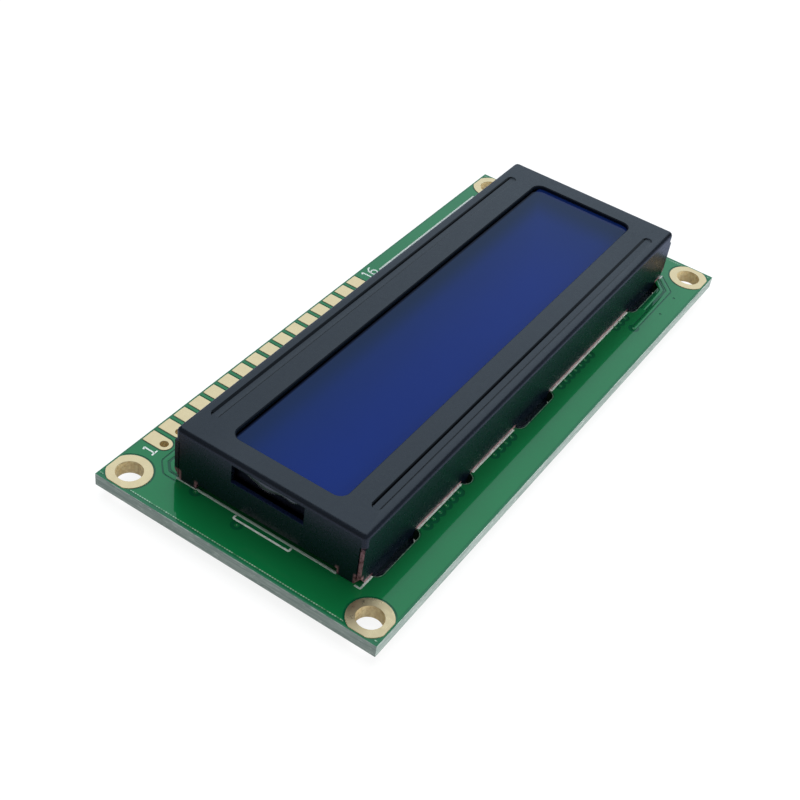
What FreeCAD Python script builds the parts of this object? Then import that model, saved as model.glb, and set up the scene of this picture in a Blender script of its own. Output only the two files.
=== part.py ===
import FreeCAD, Part
import math
import os

# Two-row character LCD module, in millimetres.
# X runs along the long side, Y across it towards the terminal row, Z out of the screen.
# The origin is the centre of the mounting-hole pattern, on the board's front face.

# Circuit board
board_length = 80.0
board_width = 36.0
board_thickness = 1.6

# Copper lands round the plated holes, standing on both faces of the board
land_height = 0.05
land_to_edge = 0.22

# Mounting holes, one in each corner of the board
hole_inset = 2.5
hole_bore = 3.0
hole_land = 5.0

# Terminal row along the +Y edge of the board
terminal_count = 16
terminal_pitch = 2.54
terminal_bore = 1.0
terminal_land = 1.85
terminal_land_flats = 8
terminal_edge_inset = 2.5
terminal_first_inset = 8.0

# Bezel: a tray pressed from sheet, open at the back
bezel_end_inset = 5.0
bezel_far_end_inset = 4.6
bezel_low_side_inset = 5.5
bezel_terminal_side_inset = 6.5
bezel_height = 7.1
sheet = 0.5
bend_radius = 0.55
corner_radius = 0.6

# Window in the middle of the bezel's face
window_end_border = 2.9
window_side_border = 4.95
window_radius = 1.2
window_lip = 0.12

# Two grooves pressed into the face beside the window; underneath they bear on the front glass
groove_side_inset = 1.8
groove_end_inset = 0.85
groove_width = 1.25
groove_floor_width = 0.75

# Slot in the end wall at -X that leaves room for the bead on the glass cell's end
port_slot_length = 9.2
port_slot_clearance = 0.2

# Lower edge of the two end walls: raised between two feet
foot_width = 2.9
end_wall_lift = 0.8

# Open seam and relief notch at each upright corner of the bezel
seam_gap = 0.12
seam_below_face = 1.7
notch_height = 1.25
notch_half_width = 0.85

# Tabs: three along each long wall, twisted behind the board
tab_end_inset = 6.2
tab_width = 7.4
tab_tip_taper = 0.8
tab_reach = 1.6
tab_twist = 30.0
tab_sections = 4
tab_side_gap = 0.35
tab_end_gap = 0.5

# Locating tongue on the long wall at -Y, in a round hole of the board
tongue_offset = 15.0
tongue_width = 1.2
tongue_reach = 0.4
tongue_gap = 0.35

# Glass cell and polarisers
glass_gap = 0.4
glass_thickness = 1.1
polariser_thickness = 0.2
polariser_lap = 1.1

# Resin bead over the filling port, on the end of the cell at -X
seal_end_gap = 0.9
seal_depth = 0.55
seal_face_margin = 0.25
seal_edge_radius = 0.2

# Rubber contact strips from the board up to the overhanging front glass
strip_side_inset = 0.7
strip_end_inset = 3.0
strip_width = 1.6
strip_gap = 0.3

# Backlight: reflector, light guide and diffuser under the cell, lit from the end at +X
film_thickness = 0.2
guide_end_inset = 0.6

# LED strip, on edge at the end of the light guide
led_board_end_gap = 0.3
led_board_side_gap = 0.9
led_board_top_gap = 0.3
led_board_thickness = 0.6
led_count = 3
led_pitch = 4.6
led_depth = 1.2
led_length = 3.0
led_height = 1.6

# Leads of the LED strip, soldered on the back of the circuit board
lead_pitch = 10.16
lead_side = 0.5
lead_reach = 1.1
lead_hole_clearance = 0.25
solder_land = 0.35
solder_skin = 0.07
solder_height = 0.8
solder_flats = 12

# Resin domes over the bare chips on the back of the board
dome_height = 1.4
dome_flats = 24
dome_steps = 4
dome_shift_y = -0.8
controller_diameter = 14.0
controller_x = -13.5
driver_diameter = 12.5
driver_x = 14.5

# Chip resistors and capacitors on the back of the board
chip_length = 2.0
chip_width = 1.25
resistor_height = 0.5
capacitor_height = 0.85
chip_cap_length = 0.4
chip_cap_thickness = 0.04
chip_solder_length = 0.45
chip_solder_rise = 0.35
ladder_count = 5
ladder_pitch = 2.3
chip_to_dome = 2.1
chip_row_y = 3.2
backlight_resistor_to_leads = 4.5

# Sizes that follow from those above
board_back = -board_thickness
half_length = board_length / 2
half_width = board_width / 2
bezel_length = board_length - bezel_end_inset - bezel_far_end_inset
bezel_width = board_width - bezel_low_side_inset - bezel_terminal_side_inset
bezel_x = (bezel_end_inset - bezel_far_end_inset) / 2
bezel_y = (bezel_low_side_inset - bezel_terminal_side_inset) / 2
bezel_inner_length = bezel_length - 2 * sheet
bezel_inner_width = bezel_width - 2 * sheet
wall_middle = (bezel_width - sheet) / 2
window_length = bezel_length - 2 * window_end_border
window_width = bezel_width - 2 * window_side_border
tab_pitch = bezel_length / 2 - tab_end_inset
tab_depth = board_thickness + tab_reach
tongue_x = bezel_x - tongue_offset

# Levels of the stack under the bezel's face, from the top down
face_underside = bezel_height - sheet
front_glass_top = face_underside - polariser_thickness
front_glass_bottom = front_glass_top - glass_thickness
rear_glass_bottom = front_glass_bottom - glass_thickness
diffuser_top = rear_glass_bottom - polariser_thickness
guide_top = diffuser_top - film_thickness

# Outlines of the stack
glass_length = bezel_inner_length - 2 * glass_gap
front_glass_width = bezel_inner_width - 2 * glass_gap
rear_glass_width = front_glass_width - 2 * (strip_side_inset + strip_width + strip_gap)
led_board_x = bezel_x + bezel_inner_length / 2 - led_board_end_gap - led_board_thickness / 2
guide_end_x = led_board_x - led_board_thickness / 2 - led_depth
lead_hole_radius = lead_side * math.sqrt(0.5) + lead_hole_clearance

# How far a cutter runs past the face that it cuts
overrun = 1.0


def vector(x, y, z):
    return FreeCAD.Vector(x, y, z)


def block(x, y, length, width, bottom, top):
    """An upright block centred on x, y."""
    corner = vector(x - length / 2, y - width / 2, bottom)
    return Part.makeBox(length, width, top - bottom, corner)


def cylinder(x, y, radius, bottom, top):
    return Part.makeCylinder(radius, top - bottom, vector(x, y, bottom))


def faceted_solid(outlines):
    """A closed solid through outlines that have equally many points, in flat facets."""
    facets = [outlines[0], outlines[-1]]
    for upper, lower in zip(outlines, outlines[1:]):
        for index in range(len(upper)):
            facets.append([upper[index - 1], upper[index], lower[index]])
            facets.append([upper[index - 1], lower[index], lower[index - 1]])
    faces = [Part.Face(Part.makePolygon(facet + facet[:1])) for facet in facets]
    return Part.makeSolid(Part.makeShell(faces))


def faceted_round(x, y, flats, profile):
    """A solid of round form in flat facets, through the radius and level pairs of a profile."""
    turns = [2 * math.pi * step / flats for step in range(flats)]
    return faceted_solid([
        [vector(x + radius * math.cos(turn), y + radius * math.sin(turn), level) for turn in turns]
        for radius, level in profile
    ])


def upright_edges(shape):
    return [edge for edge in shape.Edges if edge.BoundBox.XLength + edge.BoundBox.YLength < 1e-6]


def level_edges(shape, z):
    """The edges that lie wholly in the level plane at z."""
    return [
        edge
        for edge in shape.Edges
        if abs(edge.BoundBox.ZMin - z) < 1e-5 and abs(edge.BoundBox.ZMax - z) < 1e-5
    ]


def rounded_block(x, y, length, width, radius, bottom, top):
    """An upright block with rounded upright edges."""
    solid = block(x, y, length, width, bottom, top)
    return solid.makeFillet(radius, upright_edges(solid))


def obround_wire(x, y, length, width, z):
    """A slot's outline along X: two straight sides and two half-circle ends."""
    radius = width / 2
    left = x - length / 2 + radius
    right = x + length / 2 - radius
    low_left = vector(left, y - radius, z)
    low_right = vector(right, y - radius, z)
    high_left = vector(left, y + radius, z)
    high_right = vector(right, y + radius, z)
    outline = [
        Part.LineSegment(low_left, low_right),
        Part.Arc(low_right, vector(right + radius, y, z), high_right),
        Part.LineSegment(high_right, high_left),
        Part.Arc(high_left, vector(left - radius, y, z), low_left),
    ]
    return Part.Wire([curve.toShape() for curve in outline])


def hole_centres():
    """Centres of the four mounting holes, round from the corner at -X and -Y."""
    x = half_length - hole_inset
    y = half_width - hole_inset
    return [(-x, -y), (x, -y), (x, y), (-x, y)]


def terminal_centres():
    """Centres of the terminal holes, the first one nearest to -X."""
    first_x = terminal_first_inset - half_length
    y = half_width - terminal_edge_inset
    return [(first_x + index * terminal_pitch, y) for index in range(terminal_count)]


def tab_centres():
    """Middle of each tab's root, in the middle of the wall's thickness."""
    return [
        (bezel_x + step * tab_pitch, bezel_y + side * wall_middle)
        for side in (-1, 1)
        for step in (-1, 0, 1)
    ]


def lead_centres():
    """Places of the two backlight leads, under the LED strip's board."""
    return [(led_board_x, bezel_y + side * lead_pitch / 2) for side in (-1, 1)]


def tab_turn(share):
    """A tab's twist in radians at a share of its depth: it grows towards the tip."""
    return math.radians(tab_twist) * share ** 2


def tab_slot(x, y):
    """The slot that a tab passes through, wide enough for its twist inside the board."""
    length = tab_width + 2 * tab_end_gap
    swing = tab_width * math.sin(tab_turn(board_thickness / tab_depth))
    width = sheet + swing + 2 * tab_side_gap
    face = Part.Face(obround_wire(x, y, length, width, board_back - overrun))
    return face.extrude(vector(0, 0, board_thickness + 2 * overrun))


def mounting_land(x, y):
    """The land of one mounting hole, on both faces: a disc, cut straight near the board's edge."""
    disc = cylinder(x, y, hole_land / 2, board_back - land_height, land_height)
    allowed = block(
        0, 0, board_length - 2 * land_to_edge, board_width - 2 * land_to_edge,
        board_back - overrun, overrun,
    )
    return disc.common(allowed)


def terminal_land_form(x, y):
    """A terminal's land, on both faces: half round about the bore, in short flats, and then
    straight out to the board's edge."""
    radius = terminal_land / 2
    outer_y = half_width - land_to_edge
    bottom = board_back - land_height
    outline = [vector(x + radius, outer_y, bottom), vector(x - radius, outer_y, bottom)]
    for step in range(terminal_land_flats + 1):
        turn = math.pi * (1 + step / terminal_land_flats)
        outline.append(vector(x + radius * math.cos(turn), y + radius * math.sin(turn), bottom))
    face = Part.Face(Part.makePolygon(outline + outline[:1]))
    return face.extrude(vector(0, 0, board_thickness + 2 * land_height))


def circuit_board():
    """The board with its copper lands, plated bores and slots."""
    body = block(0, 0, board_length, board_width, board_back, 0)
    lands = [mounting_land(x, y) for x, y in hole_centres()]
    lands += [terminal_land_form(x, y) for x, y in terminal_centres()]
    bores = [(x, y, hole_bore / 2) for x, y in hole_centres()]
    bores += [(x, y, terminal_bore / 2) for x, y in terminal_centres()]
    bores += [(x, y, lead_hole_radius) for x, y in lead_centres()]
    bores.append((tongue_x, bezel_y - wall_middle, math.hypot(tongue_width, sheet) / 2 + tongue_gap))
    cutters = [cylinder(x, y, radius, board_back - overrun, overrun) for x, y, radius in bores]
    cutters += [tab_slot(x, y) for x, y in tab_centres()]
    return body.fuse(lands).cut(cutters).removeSplitter()


def tray():
    """The bezel's face and four walls, all one sheet thick, with rounded bends. Below the
    seams' tops its upright corners are square, where the long walls end in plain cut edges."""
    outer = rounded_block(
        bezel_x, bezel_y, bezel_length, bezel_width, corner_radius, 0, bezel_height
    )
    outer = outer.makeFillet(bend_radius, level_edges(outer, bezel_height))
    square = block(
        bezel_x, bezel_y, bezel_length, bezel_width, 0, bezel_height - seam_below_face
    )
    inner = block(bezel_x, bezel_y, bezel_inner_length, bezel_inner_width, 0, face_underside)
    return outer.fuse(square).cut(inner)


def with_window(shell):
    """The tray with its window punched out, and the broken edge round it."""
    punch = rounded_block(
        bezel_x, bezel_y, window_length, window_width, window_radius,
        face_underside - overrun, bezel_height + overrun,
    )
    punched = shell.cut(punch)
    lip = [
        edge
        for edge in level_edges(punched, bezel_height)
        if punch.BoundBox.isInside(edge.CenterOfMass)
    ]
    return punched.makeChamfer(window_lip, lip)


def groove_form(side, top):
    """A shallow trough with sloping sides beside the window. It is as deep as the polariser
    is thick, so that its underside meets the front glass."""
    y = bezel_y + side * (bezel_width / 2 - groove_side_inset)
    length = window_length - 2 * groove_end_inset
    slope = groove_width - groove_floor_width
    wide = obround_wire(bezel_x, y, length, groove_width, top)
    narrow = obround_wire(
        bezel_x, y, length - slope, groove_floor_width, top - polariser_thickness
    )
    return Part.makeLoft([narrow, wide], True, True)


def port_slot():
    """The cutter for the slot in the end wall at -X."""
    bottom = rear_glass_bottom - port_slot_clearance
    top = face_underside - port_slot_clearance
    end_x = bezel_x - bezel_length / 2
    return block(end_x, bezel_y, 3 * sheet, port_slot_length, bottom, top)


def end_wall_gaps():
    """The cutters that raise the lower edge of both end walls between their feet."""
    width = bezel_width - 2 * foot_width
    return [
        block(
            bezel_x + side * bezel_length / 2, bezel_y, 3 * sheet, width, -overrun, end_wall_lift
        )
        for side in (-1, 1)
    ]


def corner_cutters(side_x, side_y):
    """The open seam and the pointed relief notch at one upright corner of the bezel."""
    corner_x = bezel_x + side_x * bezel_length / 2
    corner_y = bezel_y + side_y * bezel_width / 2
    seam_y = corner_y - side_y * (sheet + seam_gap / 2)
    seam = block(corner_x, seam_y, 3 * sheet, seam_gap, -overrun, bezel_height - seam_below_face)
    inner_x = corner_x - side_x * notch_half_width
    inner_y = corner_y - side_y * notch_half_width
    outer_x = corner_x + side_x * notch_half_width
    outer_y = corner_y + side_y * notch_half_width
    base = [
        vector(inner_x, inner_y, 0),
        vector(outer_x, inner_y, 0),
        vector(outer_x, outer_y, 0),
        vector(inner_x, outer_y, 0),
    ]
    apex = Part.Vertex(corner_x, corner_y, notch_height)
    notch = Part.makeLoft([Part.makePolygon(base + base[:1]), apex], True, True)
    return [seam, notch]


def twisted_tab(x, y):
    """A tab that goes down through its slot and twists more and more towards its tip, clockwise
    from above, so that its two ends catch on the board's back face. It is in flat facets."""
    rings = []
    for index in range(tab_sections + 1):
        share = index / tab_sections
        turn = -tab_turn(share)
        along = (tab_width - tab_tip_taper * share) / 2
        through = sheet / 2
        rings.append([
            vector(
                x + across * math.cos(turn) - out * math.sin(turn),
                y + across * math.sin(turn) + out * math.cos(turn),
                -tab_depth * share,
            )
            for across, out in (
                (-along, -through), (along, -through), (along, through), (-along, through)
            )
        ])
    return faceted_solid(rings)


def locating_tongue():
    """A short straight tongue with a tapered tip, which enters the round hole in the board."""
    tip_z = board_back - tongue_reach
    tongue = block(tongue_x, bezel_y - wall_middle, tongue_width, sheet, tip_z, 0)
    tip = [edge for edge in level_edges(tongue, tip_z) if edge.BoundBox.XLength < 1e-6]
    return tongue.makeChamfer(tongue_width / 4, tip)


def bezel():
    """The whole bezel: tray, window, grooves, slot, seams, tabs and tongue."""
    shell = with_window(tray())
    shell = shell.fuse([groove_form(side, face_underside) for side in (-1, 1)])
    cutters = [groove_form(side, bezel_height) for side in (-1, 1)]
    cutters.append(port_slot())
    cutters += end_wall_gaps()
    for side_x in (-1, 1):
        for side_y in (-1, 1):
            cutters += corner_cutters(side_x, side_y)
    shell = shell.cut(cutters)
    hooks = [twisted_tab(x, y) for x, y in tab_centres()]
    hooks.append(locating_tongue())
    return shell.fuse(hooks).removeSplitter()


def glass_plate(width, bottom):
    return block(bezel_x, bezel_y, glass_length, width, bottom, bottom + glass_thickness)


def polariser(bottom):
    """A polarising film that reaches a little past the window all round."""
    length = window_length + 2 * polariser_lap
    width = window_width + 2 * polariser_lap
    return block(bezel_x, bezel_y, length, width, bottom, bottom + polariser_thickness)


def end_seal():
    """The bead of resin on the cell's end, rounded on its outside."""
    outside = bezel_x - glass_length / 2 - seal_depth
    bead = block(
        outside + seal_depth / 2, bezel_y,
        seal_depth, port_slot_length - 2 * seal_end_gap,
        rear_glass_bottom + seal_face_margin, front_glass_top - seal_face_margin,
    )
    rim = [edge for edge in bead.Edges if edge.BoundBox.XMax < outside + 1e-6]
    return bead.makeFillet(seal_edge_radius, rim)


def contact_strip(side):
    """A rubber strip that stands on the board and carries the front glass's overhang."""
    reach = front_glass_width / 2 - strip_side_inset - strip_width / 2
    length = glass_length - 2 * strip_end_inset
    return block(bezel_x, bezel_y + side * reach, length, strip_width, 0, front_glass_bottom)


def backlight_layer(bottom, top):
    """A layer of the backlight, from the cell's end at -X to the faces of the LEDs."""
    start_x = bezel_x + guide_end_inset - glass_length / 2
    middle_x = (start_x + guide_end_x) / 2
    return block(middle_x, bezel_y, guide_end_x - start_x, rear_glass_width, bottom, top)


def led_strip_board():
    """The narrow board that carries the LEDs, standing on the circuit board."""
    length = rear_glass_width - 2 * led_board_side_gap
    return block(led_board_x, bezel_y, led_board_thickness, length, 0, guide_top - led_board_top_gap)


def backlight_led(index):
    """One LED on the strip, its lens against the end of the light guide."""
    x = guide_end_x + led_depth / 2
    y = bezel_y + (index - (led_count - 1) / 2) * led_pitch
    bottom = (guide_top - led_height) / 2
    return block(x, y, led_depth, led_length, bottom, bottom + led_height)


def backlight_lead(x, y):
    """A square lead from the LED strip down through the circuit board."""
    return block(x, y, lead_side, lead_side, board_back - lead_reach, 0)


def lead_solder(x, y):
    """The cone of solder round a lead, on the board's back, hollowed as solder wets."""
    foot_radius = lead_hole_radius + solder_land
    tip_radius = lead_side * math.sqrt(0.5) + solder_skin
    waist_radius = (foot_radius + 3 * tip_radius) / 4
    cone = faceted_round(x, y, solder_flats, [
        (foot_radius, board_back),
        (waist_radius, board_back - solder_height / 2),
        (tip_radius, board_back - solder_height),
    ])
    lead_way = block(x, y, lead_side, lead_side, board_back - solder_height - overrun, board_back)
    return cone.cut(lead_way)


def resin_dome(x, diameter):
    """A low dome of black resin, steep at its rim and almost flat on top, in flat facets."""
    climbs = [math.radians(90 * step / (dome_steps + 1)) for step in range(dome_steps + 1)]
    crown = math.sin(climbs[-1])
    profile = [
        (diameter / 2 * math.cos(climb), board_back - dome_height * math.sin(climb) / crown)
        for climb in climbs
    ]
    return faceted_round(x, dome_shift_y, dome_flats, profile)


def placed_chip(shape, x, y, along_x):
    """A chip's shape moved to its place, and turned a quarter where it lies along Y."""
    if not along_x:
        shape.rotate(vector(0, 0, 0), vector(0, 0, 1), 90)
    shape.translate(vector(x, y, 0))
    return shape


def chip_part(place, height):
    """A chip resistor or capacitor: a body with a slightly thicker metal cap at each end."""
    low = board_back - height
    body = block(0, 0, chip_length - chip_cap_length, chip_width, low, board_back)
    cap_x = (chip_length - chip_cap_length) / 2
    cap_width = chip_width + 2 * chip_cap_thickness
    caps = [
        block(side * cap_x, 0, chip_cap_length, cap_width, low - chip_cap_thickness, board_back)
        for side in (-1, 1)
    ]
    return placed_chip(body.fuse(caps).removeSplitter(), *place)


def chip_solder(place):
    """The two solder wedges at the ends of a chip part."""
    wedges = []
    for side in (-1, 1):
        start = side * chip_length / 2
        end = start + side * chip_solder_length
        corners = [
            vector(start, -chip_width / 2, board_back),
            vector(end, -chip_width / 2, board_back),
            vector(start, -chip_width / 2, board_back - chip_solder_rise),
        ]
        face = Part.Face(Part.makePolygon(corners + corners[:1]))
        wedges.append(placed_chip(face.extrude(vector(0, chip_width, 0)), *place))
    return wedges


def resistor_places():
    """Centre of each chip resistor, and whether it lies along X."""
    ladder_y = dome_shift_y + driver_diameter / 2 + chip_to_dome + chip_length / 2
    ladder_middle = (ladder_count - 1) / 2
    places = [
        (driver_x + (index - ladder_middle) * ladder_pitch, ladder_y, False)
        for index in range(ladder_count)
    ]
    places.append((controller_x - controller_diameter / 2 - chip_to_dome, chip_row_y, False))
    places.append((led_board_x - backlight_resistor_to_leads, bezel_y, False))
    return places


def capacitor_places():
    """Centre of each chip capacitor, and whether it lies along X."""
    controller_edge = controller_x + controller_diameter / 2
    driver_edge = driver_x - driver_diameter / 2
    return [
        (controller_x - controller_diameter / 2 - chip_to_dome, -chip_row_y, False),
        (driver_x + driver_diameter / 2 + chip_to_dome, -chip_row_y, False),
        ((controller_edge + driver_edge) / 2, dome_shift_y, False),
    ]


def save(name, shape):
    shape.exportStep("parts/" + name + ".step")


os.makedirs("parts", exist_ok=True)

save("circuit_board", circuit_board())

save("reflector_film", backlight_layer(0, film_thickness))
save("light_guide", backlight_layer(film_thickness, guide_top))
save("diffuser_film", backlight_layer(guide_top, diffuser_top))
save("led_strip_board", led_strip_board())
for index in range(led_count):
    save("backlight_led_%d" % (index + 1), backlight_led(index))
for number, (x, y) in enumerate(lead_centres(), 1):
    save("backlight_lead_%d" % number, backlight_lead(x, y))
    save("lead_solder_%d" % number, lead_solder(x, y))

save("contact_strip_1", contact_strip(-1))
save("contact_strip_2", contact_strip(1))
save("rear_polariser", polariser(diffuser_top))
save("rear_glass", glass_plate(rear_glass_width, rear_glass_bottom))
save("front_glass", glass_plate(front_glass_width, front_glass_bottom))
save("front_polariser", polariser(front_glass_top))
save("end_seal", end_seal())
save("bezel", bezel())

save("controller_dome", resin_dome(controller_x, controller_diameter))
save("driver_dome", resin_dome(driver_x, driver_diameter))
for number, place in enumerate(resistor_places(), 1):
    save("chip_resistor_%d" % number, chip_part(place, resistor_height))
for number, place in enumerate(capacitor_places(), 1):
    save("chip_capacitor_%d" % number, chip_part(place, capacitor_height))
solder_wedges = []
for place in resistor_places() + capacitor_places():
    solder_wedges += chip_solder(place)
save("chip_solder", Part.makeCompound(solder_wedges))
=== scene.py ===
import bmesh
import bpy
import math
from mathutils import Matrix, Vector


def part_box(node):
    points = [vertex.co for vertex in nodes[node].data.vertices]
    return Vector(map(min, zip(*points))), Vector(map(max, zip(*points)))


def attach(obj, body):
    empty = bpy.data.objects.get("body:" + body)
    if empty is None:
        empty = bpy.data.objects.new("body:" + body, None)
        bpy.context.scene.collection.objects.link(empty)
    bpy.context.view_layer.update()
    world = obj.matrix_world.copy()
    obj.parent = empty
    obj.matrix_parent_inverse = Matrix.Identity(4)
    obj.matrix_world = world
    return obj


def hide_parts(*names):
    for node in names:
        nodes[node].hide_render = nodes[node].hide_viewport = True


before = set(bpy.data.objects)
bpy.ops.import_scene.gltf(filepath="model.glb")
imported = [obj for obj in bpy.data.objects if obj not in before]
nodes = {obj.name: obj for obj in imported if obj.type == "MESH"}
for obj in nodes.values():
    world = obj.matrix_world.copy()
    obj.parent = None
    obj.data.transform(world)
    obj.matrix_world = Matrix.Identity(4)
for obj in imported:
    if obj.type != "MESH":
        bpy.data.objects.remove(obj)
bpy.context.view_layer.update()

# Circuit board
# A plate of glass cloth in epoxy, drilled and milled to its outline and its six tab slots.
# Glossy green lacquer covers both faces, and the milled edges stay bare.
mm = 0.001
board_low, board_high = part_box("circuit_board")
land_height = 0.05 * mm
board_front = board_high.z - land_height
board_back = board_low.z + land_height
half_length = board_high.x
half_width = board_high.y
lacquer_on_laminate = (0.002, 0.080, 0.032, 1)
lacquer_near_edge = (0.010, 0.125, 0.050, 1)
bare_laminate = (0.25, 0.31, 0.285, 1)
pale_fibre = (0.56, 0.62, 0.58, 1)
slot_shade = (0.020, 0.045, 0.030, 1)


def add_node(tree, kind, inputs=None, **settings):
    """A node with its settings, and its inputs set or linked."""
    made = tree.nodes.new(kind)
    for name, value in settings.items():
        setattr(made, name, value)
    for name, value in (inputs or {}).items():
        if isinstance(value, bpy.types.NodeSocket):
            tree.links.new(value, made.inputs[name])
        else:
            made.inputs[name].default_value = value
    return made


def calc(tree, operation, *values):
    """The result of a Math node."""
    made = add_node(tree, "ShaderNodeMath", dict(enumerate(values)), operation=operation)
    return made.outputs[0]


def ramp(tree, value, start, end, low=0.0, high=1.0):
    """The value eased from low to high between start and end."""
    made = add_node(tree, "ShaderNodeMapRange", {
        "Value": value, "From Min": start, "From Max": end, "To Min": low, "To Max": high,
    }, interpolation_type="SMOOTHSTEP")
    return made.outputs["Result"]


def eased(tree, value, low, high):
    """A value from 0 to 1, eased to run from low to high."""
    return ramp(tree, value, 0.0, 1.0, low, high)


def apart(tree, first, second):
    """How far two values are apart."""
    return calc(tree, "ABSOLUTE", calc(tree, "SUBTRACT", first, second))


def toned(colour, share):
    """A colour, darker or paler."""
    return tuple(share * part for part in colour[:3]) + (1,)


def blended(tree, mask, first, second):
    """The first colour, or the second one where the mask is 1."""
    made = add_node(tree, "ShaderNodeMix", {0: mask, 6: first, 7: second}, data_type="RGBA")
    return made.outputs[2]


def object_place(tree):
    """The X, Y and Z of a point on the piece."""
    place = add_node(tree, "ShaderNodeTexCoord").outputs["Object"]
    return add_node(tree, "ShaderNodeSeparateXYZ", {0: place}).outputs


def facing(tree, axis):
    """How squarely the surface faces along an axis, either way, from 0 to 1."""
    normal = add_node(tree, "ShaderNodeTexCoord").outputs["Normal"]
    part = add_node(tree, "ShaderNodeSeparateXYZ", {0: normal}).outputs[axis]
    return calc(tree, "ABSOLUTE", part)


def new_group(name, labels, result):
    """A shader node group with number inputs and one number output."""
    tree = bpy.data.node_groups.new(name, "ShaderNodeTree")
    for label in labels:
        tree.interface.new_socket(label, in_out="INPUT", socket_type="NodeSocketFloat")
    tree.interface.new_socket(result, in_out="OUTPUT", socket_type="NodeSocketFloat")
    return tree, tree.nodes.new("NodeGroupInput").outputs, tree.nodes.new("NodeGroupOutput").inputs


def effect(tree, group, **values):
    """The result of one of the shared effects, with this material's own values."""
    inputs = {label.replace("_", " "): value for label, value in values.items()}
    return add_node(tree, "ShaderNodeGroup", inputs, node_tree=group).outputs[0]


def unevenness_group():
    """Soft random tone from 0 to 1, with its own scale along each axis."""
    tree, given, result = new_group("unevenness", ["Along X", "Along Y", "Along Z"], "Tone")
    place = add_node(tree, "ShaderNodeTexCoord").outputs["Object"]
    scales = add_node(tree, "ShaderNodeCombineXYZ", {0: given[0], 1: given[1], 2: given[2]})
    scaled = add_node(tree, "ShaderNodeVectorMath", {0: place, 1: scales.outputs[0]},
                      operation="MULTIPLY")
    noise = add_node(tree, "ShaderNodeTexNoise", {
        "Vector": scaled.outputs[0], "Scale": 1.0, "Detail": 4.0, "Roughness": 0.55,
    })
    tone = add_node(tree, "ShaderNodeMapRange", {
        "Value": noise.outputs[0], "From Min": 0.3, "From Max": 0.7,
    })
    tree.links.new(tone.outputs[0], result[0])
    return tree


def specks_group():
    """A mask of scattered small specks: a share of the cells of a grid has one."""
    tree, given, result = new_group("specks", ["Scale", "Share", "Size"], "Mask")
    place = add_node(tree, "ShaderNodeTexCoord").outputs["Object"]
    cells = add_node(tree, "ShaderNodeTexVoronoi", {"Vector": place, "Scale": given[0]})
    draw = add_node(tree, "ShaderNodeSeparateColor", {0: cells.outputs["Color"]}).outputs[0]
    chosen = calc(tree, "LESS_THAN", draw, given[1])
    near = calc(tree, "LESS_THAN", cells.outputs["Distance"], given[2])
    tree.links.new(calc(tree, "MULTIPLY", chosen, near), result[0])
    return tree


def band_group():
    """A mask that is 1 while a value lies between two limits, with soft edges."""
    tree, given, result = new_group("band", ["Value", "Low", "High", "Blur"], "Mask")
    over = calc(tree, "DIVIDE", calc(tree, "SUBTRACT", given[0], given[1]), given[3])
    under = calc(tree, "DIVIDE", calc(tree, "SUBTRACT", given[2], given[0]), given[3])
    least = calc(tree, "MINIMUM", over, under)
    shifted = add_node(tree, "ShaderNodeMath", {0: least, 1: 0.5}, operation="ADD", use_clamp=True)
    tree.links.new(shifted.outputs[0], result[0])
    return tree


unevenness = unevenness_group()
specks = specks_group()
band = band_group()


def mottle(tree, scale):
    """Soft random tone from 0 to 1, alike along all three axes."""
    return effect(tree, unevenness, Along_X=scale, Along_Y=scale, Along_Z=scale)


def new_finish(name, constants):
    """A material, its node tree and its shader with the values that are the same all over."""
    material = bpy.data.materials.new(name)
    material.use_nodes = True
    tree = material.node_tree
    shader = tree.nodes["Principled BSDF"]
    for label, value in constants.items():
        shader.inputs[label].default_value = value
    return material, tree, shader


def feed(tree, shader, **sockets):
    """Links worked-out values to the shader, such as Base_Color or Roughness."""
    for label, socket in sockets.items():
        tree.links.new(socket, shader.inputs[label.replace("_", " ")])


def bumped(tree, height, depth, below=None):
    """A normal that follows a height, depth being its size in metres."""
    made = add_node(tree, "ShaderNodeBump", {"Height": height, "Distance": depth, "Strength": 1.0})
    if below is not None:
        tree.links.new(below, made.inputs["Normal"])
    return made.outputs[0]


def dress(piece, material):
    """Gives a piece this one material."""
    piece.data.materials.clear()
    piece.data.materials.append(material)


def lacquer_relief(tree):
    """The slow waves and the faint cloth pattern that the lacquer shows."""
    waves = mottle(tree, 220.0)
    x, y = object_place(tree)[:2]
    thread = 2 * math.pi / (0.9 * mm)
    warp = calc(tree, "SINE", calc(tree, "MULTIPLY", x, thread))
    weft = calc(tree, "SINE", calc(tree, "MULTIPLY", y, thread))
    cloth = calc(tree, "MULTIPLY", warp, weft)
    return bumped(tree, cloth, 0.0002 * mm, bumped(tree, waves, 0.004 * mm))


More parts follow.
